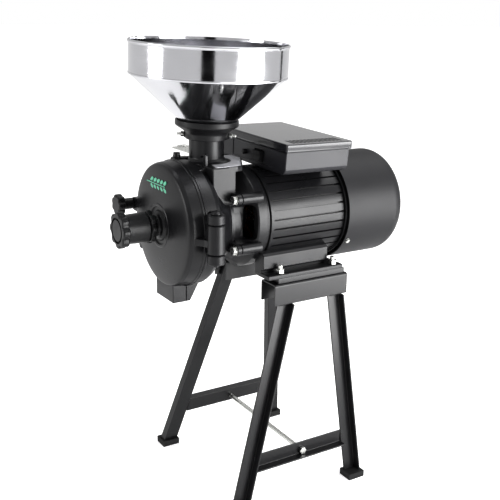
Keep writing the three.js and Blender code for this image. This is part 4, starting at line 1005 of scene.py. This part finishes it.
# Powder coat: an even black with a faint orange peel, semi-gloss on the stand and matt on the cowl.
coat = black_skin("semi_gloss_black_powder_coat", "#141416", "#1C1C1E", (0.26, 0.4), 1.1, 0.03, 90, coat=0.1)
cowl_coat = black_skin("matt_black_powder_coat", "#161618", "#1F1F22", (0.44, 0.58), 1.1, 0.03, 90)
cowl_line = rounded([
    (90.4, 126.5), (92, 126.5, 0.5), (92, 253, 27), (0, 253), (0, 251.4), (90.4, 251.4, 25.4),
], 12)
air_slots = grown("cowl_air_slots", round_shaft, {
    "Count": 12, "First Angle": 0.0, "Distance": 39 * MM, "Block Size": (34 * MM, 12 * MM, 7 * MM),
    "Middle": (0, 252 * MM, SHAFT_Z * MM), "Material": cowl_coat})
piece(fused("pressed_fan_cowl", [turned(cowl_line, "Y", AXIS, 160)], [air_slots]), cowl_coat,
      "mill_and_stand", ["fan_cowl"], 28)


# ------------------------------------------------------------ fasteners
# Zinc-plated hex screws: four that hold the grinding head to the bell, four with nuts that hold
# the motor's feet down, and the cowl's small screws.
def hex_screws():
    """Node tree that sets a shank, a hex head and a hex nut at each point."""
    tree = bpy.data.node_groups.new("hex_screws", "GeometryNodeTree")
    given = named_inputs(tree, [("Geometry", "NodeSocketGeometry"), ("Turn", "NodeSocketVector"),
                         ("Shank Radius", "NodeSocketFloat"),
                                ("Shank Low", "NodeSocketFloat"), ("Shank High", "NodeSocketFloat"),
                                ("Head Radius", "NodeSocketFloat"),
                                ("Head Low", "NodeSocketFloat"), ("Head High", "NodeSocketFloat"),
                                ("Nut Radius", "NodeSocketFloat"),
                                ("Nut Low", "NodeSocketFloat"), ("Nut High", "NodeSocketFloat"),
                                ("Material", "NodeSocketMaterial")])
    bars = []
    for part, sides in (("Shank", 24), ("Head", 6), ("Nut", 6)):
        length = put(tree, "ShaderNodeMath", {0: given[f"{part} High"], 1: given[f"{part} Low"]},
                     operation="SUBTRACT")
        total = put(tree, "ShaderNodeMath", {0: given[f"{part} High"], 1: given[f"{part} Low"]},
                    operation="ADD")
        middle = put(tree, "ShaderNodeMath", {0: total, 1: 0.5}, operation="MULTIPLY")
        shift = put(tree, "ShaderNodeCombineXYZ", {"Z": middle})
        bar = put(tree, "GeometryNodeMeshCylinder",
                  {"Vertices": sides, "Radius": given[f"{part} Radius"], "Depth": length})
        bars.append(put(tree, "GeometryNodeTransform", {"Geometry": bar, "Translation": shift}))
    screw = put(tree, "GeometryNodeJoinGeometry")
    for bar in bars:
        tree.links.new(bar.outputs[0], screw.inputs[0])
    as_turn = put(tree, "FunctionNodeEulerToRotation", {0: given["Turn"]})
    many = put(tree, "GeometryNodeInstanceOnPoints",
               {"Points": given["Geometry"], "Instance": screw, "Rotation": as_turn})
    return closed_tree(tree, many, given["Material"])


def at_points(name, points):
    mesh = bpy.data.meshes.new(name)
    mesh.from_pydata([Vector(point) * MM for point in points], [], [])
    return mesh


def screws(name, points, turn, shank, head, nut):
    """Screws at points; each of shank, head and nut is (radius, low, high) along the screw in mm."""
    values = {"Turn": turn, "Material": zinc}
    for part, sizes in (("Shank", shank), ("Head", head), ("Nut", nut)):
        values.update({f"{part} {side}": size * MM for side, size in zip(("Radius", "Low", "High"), sizes)})
    return softened(grown(name, screw_tree, values, at_points(name + "_points", points)), 0.45, 2, 40)


screw_tree = hex_screws()
piece(screws("head_to_bell_screws", [(x, 0, SHAFT_Z + up) for x, up in SHIELD_BOLTS], (math.pi / 2, 0, 0),
      (4, 62, 88), (7.2, 88.3, 93.6), (8.6, 87.1, 88.3)),
      zinc, "mill_and_stand", ["shield_bolt_far_lower", "shield_bolt_far_upper", "shield_bolt_near_lower",
                               "shield_bolt_near_upper"])
piece(screws("motor_foot_screws", [(side * FOOT_SCREW_X, y, 0) for side in (-1, 1) for y in FOOT_SCREW_YS],
      (0, 0, 0.3), (4, 358, 400), (6.6, 361, 366.9), (7.4, 387, 394)),
      zinc, "mill_and_stand", ["foot_bolt_near_front", "foot_bolt_near_rear", "foot_bolt_far_front",
                               "foot_bolt_far_rear"])
for label, turn_deg in (("near", 31), ("far", 149)):
    spoke = math.radians(turn_deg)
    at = (92 * math.cos(spoke), 134, SHAFT_Z - 92 * math.sin(spoke))
    small = screws(f"{label}_cowl_screw", [at], (0, math.pi / 2 + spoke, 0), (2, -5, 0), (4.2, 0.2, 3.0),
                   (4.8, -0.6, 0.3))
    piece(small, zinc, "mill_and_stand")


# ------------------------------------------------------------ control box
# Box of dark moulded ABS on top of the motor. Its front end has a shallow sunk panel with the
# switch, and the thinner lid has a glossier face with a row of vent slots.

# Moulded ABS: dark grey, satin and fine-grained on the walls, nearly polished on the lid.
box_plastic = black_skin("fine_grained_grey_abs", "#222226", "#2A2A2E", (0.26, 0.38), 0.7, 0.015, 70)
lid_plastic = black_skin("glossy_grey_abs", "#1E1E21", "#26262A", (0.05, 0.12), 1.5, 0.006, 90, coat=0.5)
top = BOX_TOP - 14
RESET, GLAND = (-22, 568), (-55, 568)
walls_line = rounded([(-100.5, top), (-99, BOX_BOTTOM + 7, 6), (-93.5, BOX_BOTTOM, 6),
                     (93.5, BOX_BOTTOM, 6), (99, BOX_BOTTOM + 7, 6), (100.5, top)], 5)
core_line = rounded([(-98, top + 4), (-96.5, BOX_BOTTOM + 7.6, 4), (-92.3, BOX_BOTTOM + 2.5, 4),
                    (92.3, BOX_BOTTOM + 2.5, 4), (96.5, BOX_BOTTOM + 7.6, 4), (98, top + 4)], 4)
panel = block(-62, 62, BOX_FRONT - 4, BOX_FRONT + 3.6, BOX_BOTTOM + 6, top - 3, 1.5, 3)
walls = fused("control_box_walls", [boxed(pushed(walls_line, "Y", BOX_FRONT + 2.5, BOX_BACK - 2.5, 2.0,
              3))], [
    boxed(pushed(core_line, "Y", BOX_FRONT + 6.2, BOX_BACK - 5)), boxed(panel),
    boxed(block(6, 34, BOX_FRONT, BOX_FRONT + 9, 559, 579, 1)),
    boxed(rod("Y", 4.6, BOX_FRONT, BOX_FRONT + 9, RESET, 0)),
    boxed(rod("Y", 6.3, BOX_BACK - 10, BOX_BACK + 4, GLAND, 0))])
piece(walls, box_plastic, "mill_and_stand", ["box_body"], 28)


def row_of_slots():
    """Node tree that sets a straight row of long cutters."""
    tree = bpy.data.node_groups.new("row_of_slots", "GeometryNodeTree")
    given = named_inputs(tree, [("Count", "NodeSocketInt"), ("Pitch", "NodeSocketVector"),
                         ("Slot Size", "NodeSocketVector"),
                                ("First Slot", "NodeSocketVector"), ("Material", "NodeSocketMaterial")])
    line = put(tree, "GeometryNodeMeshLine", {"Count": given["Count"],
               "Start Location": given["First Slot"], "Offset": given["Pitch"]})
    cutter = put(tree, "GeometryNodeMeshCube", {"Size": given["Slot Size"]})
    row = put(tree, "GeometryNodeInstanceOnPoints", {"Points": line, "Instance": cutter})
    return closed_tree(tree, row, given["Material"])


vents = grown("lid_vent_cutters", row_of_slots(), {
    "Count": 14, "Pitch": (0, 7 * MM, 0), "Slot Size": (26 * MM, 3.8 * MM, 12 * MM),
    "First Slot": (84 * MM, (BOX_FRONT + 19.2) * MM, BOX_TOP * MM), "Material": lid_plastic})
vents.data.transform(Matrix.Scale(MM, 4) @ box_lean @ Matrix.Scale(1 / MM, 4))
lid = fused("control_box_lid", [boxed(block(-104, 104, BOX_FRONT, BOX_BACK, top + 0.3, BOX_TOP, 2.6, 4))], [
    boxed(block(-101, 101, BOX_FRONT + 3, BOX_BACK - 3, top - 3, BOX_TOP - 3, 1)), vents])
piece(lid, lid_plastic, "mill_and_stand", ["box_lid"], 28)

rocker_line = rounded([(-20.3, 561, 1), (-16.5, 569, 12), (-19, 577, 1), (-9, 577), (-7, 569), (-9, 561)], 5)
piece(object_of("rocker_moulding", boxed(pushed(rocker_line, "X", 9.2, 30.8, 0.8))), fan_plastic, "rocker",
      ["rocker_switch"])
button_line = rounded([(0, -18.5), (4.2, -18.5, 1.6), (4.2, -10.2), (6.5, -10.2), (6.5, -5), (0, -5)], 4)
piece(object_of("reset_button_moulding", boxed(turned(button_line, "Y", RESET, 40))), fan_plastic, "reset",
      ["reset_button"])


# ------------------------------------------------------------ cable gland
# Black nylon gland on the back of the box: a hex body with a smooth domed nut, empty, since the
# mill has no supply cable here.
dome = turned(rounded([(3.6, BOX_BACK - 9), (6, BOX_BACK - 9), (6, BOX_BACK - 2), (9.2, BOX_BACK - 2),
              (9.2, BOX_BACK + 5.6, 0.8), (7.5, BOX_BACK + 6.4, 0.5),
                       (7.3, BOX_BACK + 11, 1), (5, BOX_BACK + 14, 1.5), (3.6, BOX_BACK + 14)], 3), "Y",
                       GLAND, 48)
gland_hex = turned(rounded([(5, BOX_BACK - 2.2), (10, BOX_BACK - 2.2), (10, BOX_BACK + 3.6),
                   (5, BOX_BACK + 3.6)], 2), "Y", GLAND, 6)
piece(softened(fused("nylon_cable_gland", [boxed(dome), boxed(gland_hex)]), 0.4), fan_plastic,
      "mill_and_stand", ["cable_gland"])


# ------------------------------------------------------------ inside the control box
# A start and a run capacitor in drawn aluminium cans, and a black moulded terminal strip, all
# lying on the floor of the box.

# Drawn aluminium: pale and clean, with a soft haze in its shine.
def drawn_can():
    material, tree = new_material("drawn_aluminium_can")
    place = put(tree, "ShaderNodeTexCoord")
    haze = put(tree, "ShaderNodeTexNoise", {"Vector": place.outputs["Object"], "Scale": 180.0, "Detail": 3.0})
    rough = put(tree, "ShaderNodeMapRange", {"Value": haze.outputs["Fac"], "To Min": 0.22, "To Max": 0.4})
    shader = put(tree, "ShaderNodeBsdfPrincipled",
                 {"Base Color": linear("#C9CACC"), "Metallic": 1.0, "Roughness": rough})
    return closed_material(material, shader)


can_metal = drawn_can()
for label in ("start", "run"):
    low, high = (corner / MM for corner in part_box(f"{label}_capacitor"))
    radius = min(high.x - low.x, high.z - low.z) / 2 - 0.6
    middle = ((low.x + high.x) / 2, (low.z + high.z) / 2)
    can_line = rounded([(0, low.y + 0.6), (radius, low.y + 0.6, 2), (radius, high.y - 6, 0.5),
                       (radius - 0.8, high.y - 5), (radius, high.y - 4, 0.5),
                        (radius, high.y - 0.8, 1), (radius - 2, high.y - 0.8), (radius - 3, high.y - 2.4),
                        (0, high.y - 2.4)], 3)
    piece(object_of(f"{label}_capacitor_can", turned(can_line, "Y", middle, 64)), can_metal,
          "mill_and_stand", [f"{label}_capacitor"])
piece(softened(cad_copy("terminal_strip", "terminal_block"), 0.6), fan_plastic, "mill_and_stand",
      ["terminal_block"])


# ------------------------------------------------------------ rails and saddles
# Flat bars under the motor's feet, resting on two folded steel channels that the legs are welded
# into, all powder-coated black.
for label, side in (("near", 1), ("far", -1)):
    holes = [rod("Z", 4.5, 325, 385, (side * FOOT_SCREW_X, y), 0, 32) for y in FOOT_SCREW_YS]
    low, high = sorted((side * 55, side * 97))
    piece(fused(f"{label}_flat_bar", [block(low, high, -17, 116, 370.3, 379, 0.9)], holes), coat,
          "mill_and_stand", [f"{label}_rail"])
    low, high = sorted((side * 58, side * 100))
    channel_line = rounded([(low, 334, 0.8), (low, 370, 4.2), (high, 370, 4.2), (high, 334, 0.8),
                           (high - 2.5, 334, 0.8),
                            (high - 2.5, 367.5, 1.8), (low + 2.5, 367.5, 1.8), (low + 2.5, 334, 0.8)], 5)
    holes = [rod("Z", 4.5, 355, 385, (side * FOOT_SCREW_X, y), 0, 32) for y in FOOT_SCREW_YS]
    piece(fused(f"{label}_folded_channel", [pushed(channel_line, "Y", -25, 121, 0.5)], holes), coat,
          "mill_and_stand", [f"{label}_saddle"])


# ------------------------------------------------------------ legs, crossbars and feet
# Splayed legs and crossbars of 25 mm rolled steel angle, welded and powder-coated, standing in
# pressed-on rubber caps.

# Rubber: the dullest black on the stand, with no highlight to speak of.
rubber = black_skin("matt_black_rubber", "#141415", "#1B1B1C", (0.6, 0.8), 0.9, 0.05)
for label in ("near", "far"):
    for end in ("front", "rear"):
        piece(softened(cad_copy(f"{label}_{end}_angle_leg", f"{label}_{end}_leg"), 0.8, 3), coat,
              "mill_and_stand", [f"{label}_{end}_leg"])
        piece(softened(cad_copy(f"{label}_{end}_rubber_cap", f"{label}_{end}_foot"), 1.6, 3, 50), rubber,
              "mill_and_stand", [f"{label}_{end}_foot"])
    piece(softened(cad_copy(f"{label}_angle_crossbar", f"{label}_crossbar"), 0.8, 3), coat,
          "mill_and_stand", [f"{label}_crossbar"])


# ------------------------------------------------------------ tie rod
# A steel rod across the stand that keeps the two sides together, threaded at its ends, with a
# hex head on the hinge side and a nut on the far side.
ROD_LINE = (22, 73.2)
rod_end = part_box("tie_rod")[1].x / MM
nut_low, nut_high = (corner.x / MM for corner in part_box("tie_rod_nut"))
line = rounded([(0, -rod_end - 6), (3.4, -rod_end - 6, 0.6),
               *[(4 - 0.4 * (k % 2), -rod_end - 4 + 0.6 * k) for k in range(30)], (4, -rod_end + 15),
               (4, rod_end - 0.4), (0, rod_end - 0.4)], 1)
shank = turned(line, "X", ROD_LINE, 32)
hexagon = turned(rounded([(0, rod_end - 5.7), (6.4, rod_end - 5.7), (6.4, rod_end), (0, rod_end)], 1), "X",
                 ROD_LINE, 6)
piece(softened(fused("tie_rod_bar", [shank, hexagon]), 0.35, 2, 50), zinc, "mill_and_stand", ["tie_rod"])
nut = turned([(4.3, nut_low), (6.4, nut_low), (6.4, nut_high), (4.3, nut_high)], "X", ROD_LINE, 6)
piece(softened(object_of("tie_rod_hex_nut", nut), 0.35, 2, 50), zinc, "mill_and_stand", ["tie_rod_nut"])


# ------------------------------------------------------------ weld beads
# Short beads of weld where the legs meet the channels and the crossbars meet the legs: small
# overlapping ripples under the same black coat.
def weld_beads():
    tree = bpy.data.node_groups.new("weld_beads", "GeometryNodeTree")
    given = named_inputs(tree, [("Geometry", "NodeSocketGeometry"), ("Ripple Length", "NodeSocketFloat"),
                         ("Ripple Radius", "NodeSocketFloat"),
                                ("Unevenness", "NodeSocketFloat"), ("Seed", "NodeSocketInt"),
                                ("Material", "NodeSocketMaterial")])
    seam = put(tree, "GeometryNodeMeshToCurve", {"Mesh": given["Geometry"]})
    spots = put(tree, "GeometryNodeResampleCurve", {"Curve": seam, "Length": given["Ripple Length"]},
                mode="LENGTH")
    ripple = put(tree, "GeometryNodeMeshIcoSphere", {"Radius": given["Ripple Radius"], "Subdivisions": 3})
    least = put(tree, "ShaderNodeMath", {0: 1.0, 1: given["Unevenness"]}, operation="SUBTRACT")
    size = put(tree, "FunctionNodeRandomValue", {2: least, 3: 1.0, "Seed": given["Seed"]}, data_type="FLOAT")
    beads = put(tree, "GeometryNodeInstanceOnPoints",
                {"Points": spots, "Instance": ripple, "Scale": size.outputs[1]})
    return closed_tree(tree, beads, given["Material"])


seams = []
for label, side in (("far", -1), ("near", 1)):
    for y in (-3.5, 99.5):
        seams.append(((side * 97.2, y - 11, 334.2), (side * 97.2, y + 11, 334.2)))
    bar_low, bar_high = (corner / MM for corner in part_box(f"{label}_crossbar"))
    outer = max(abs(bar_low.x), abs(bar_high.x)) - 14
    for y, slant in ((bar_low.y + 3.6, -1), (bar_high.y - 1.0, 1)):
        seams.append(((side * (outer + 1), y + (3.4 if slant < 0 else 0.6) * slant, 66),
                     (side * (outer - 0.5), y, 86)))
seam_mesh = bpy.data.meshes.new("weld_seams")
seam_mesh.from_pydata([Vector(point) * MM for seam in seams for point in seam],
                      [(2 * k, 2 * k + 1) for k in range(len(seams))], [])
welds = grown("stand_weld_beads", weld_beads(), {"Ripple Length": 2.2 * MM, "Ripple Radius": 2.1 * MM,
              "Unevenness": 0.25, "Seed": 5, "Material": coat}, seam_mesh)
piece(welds, coat, "mill_and_stand")
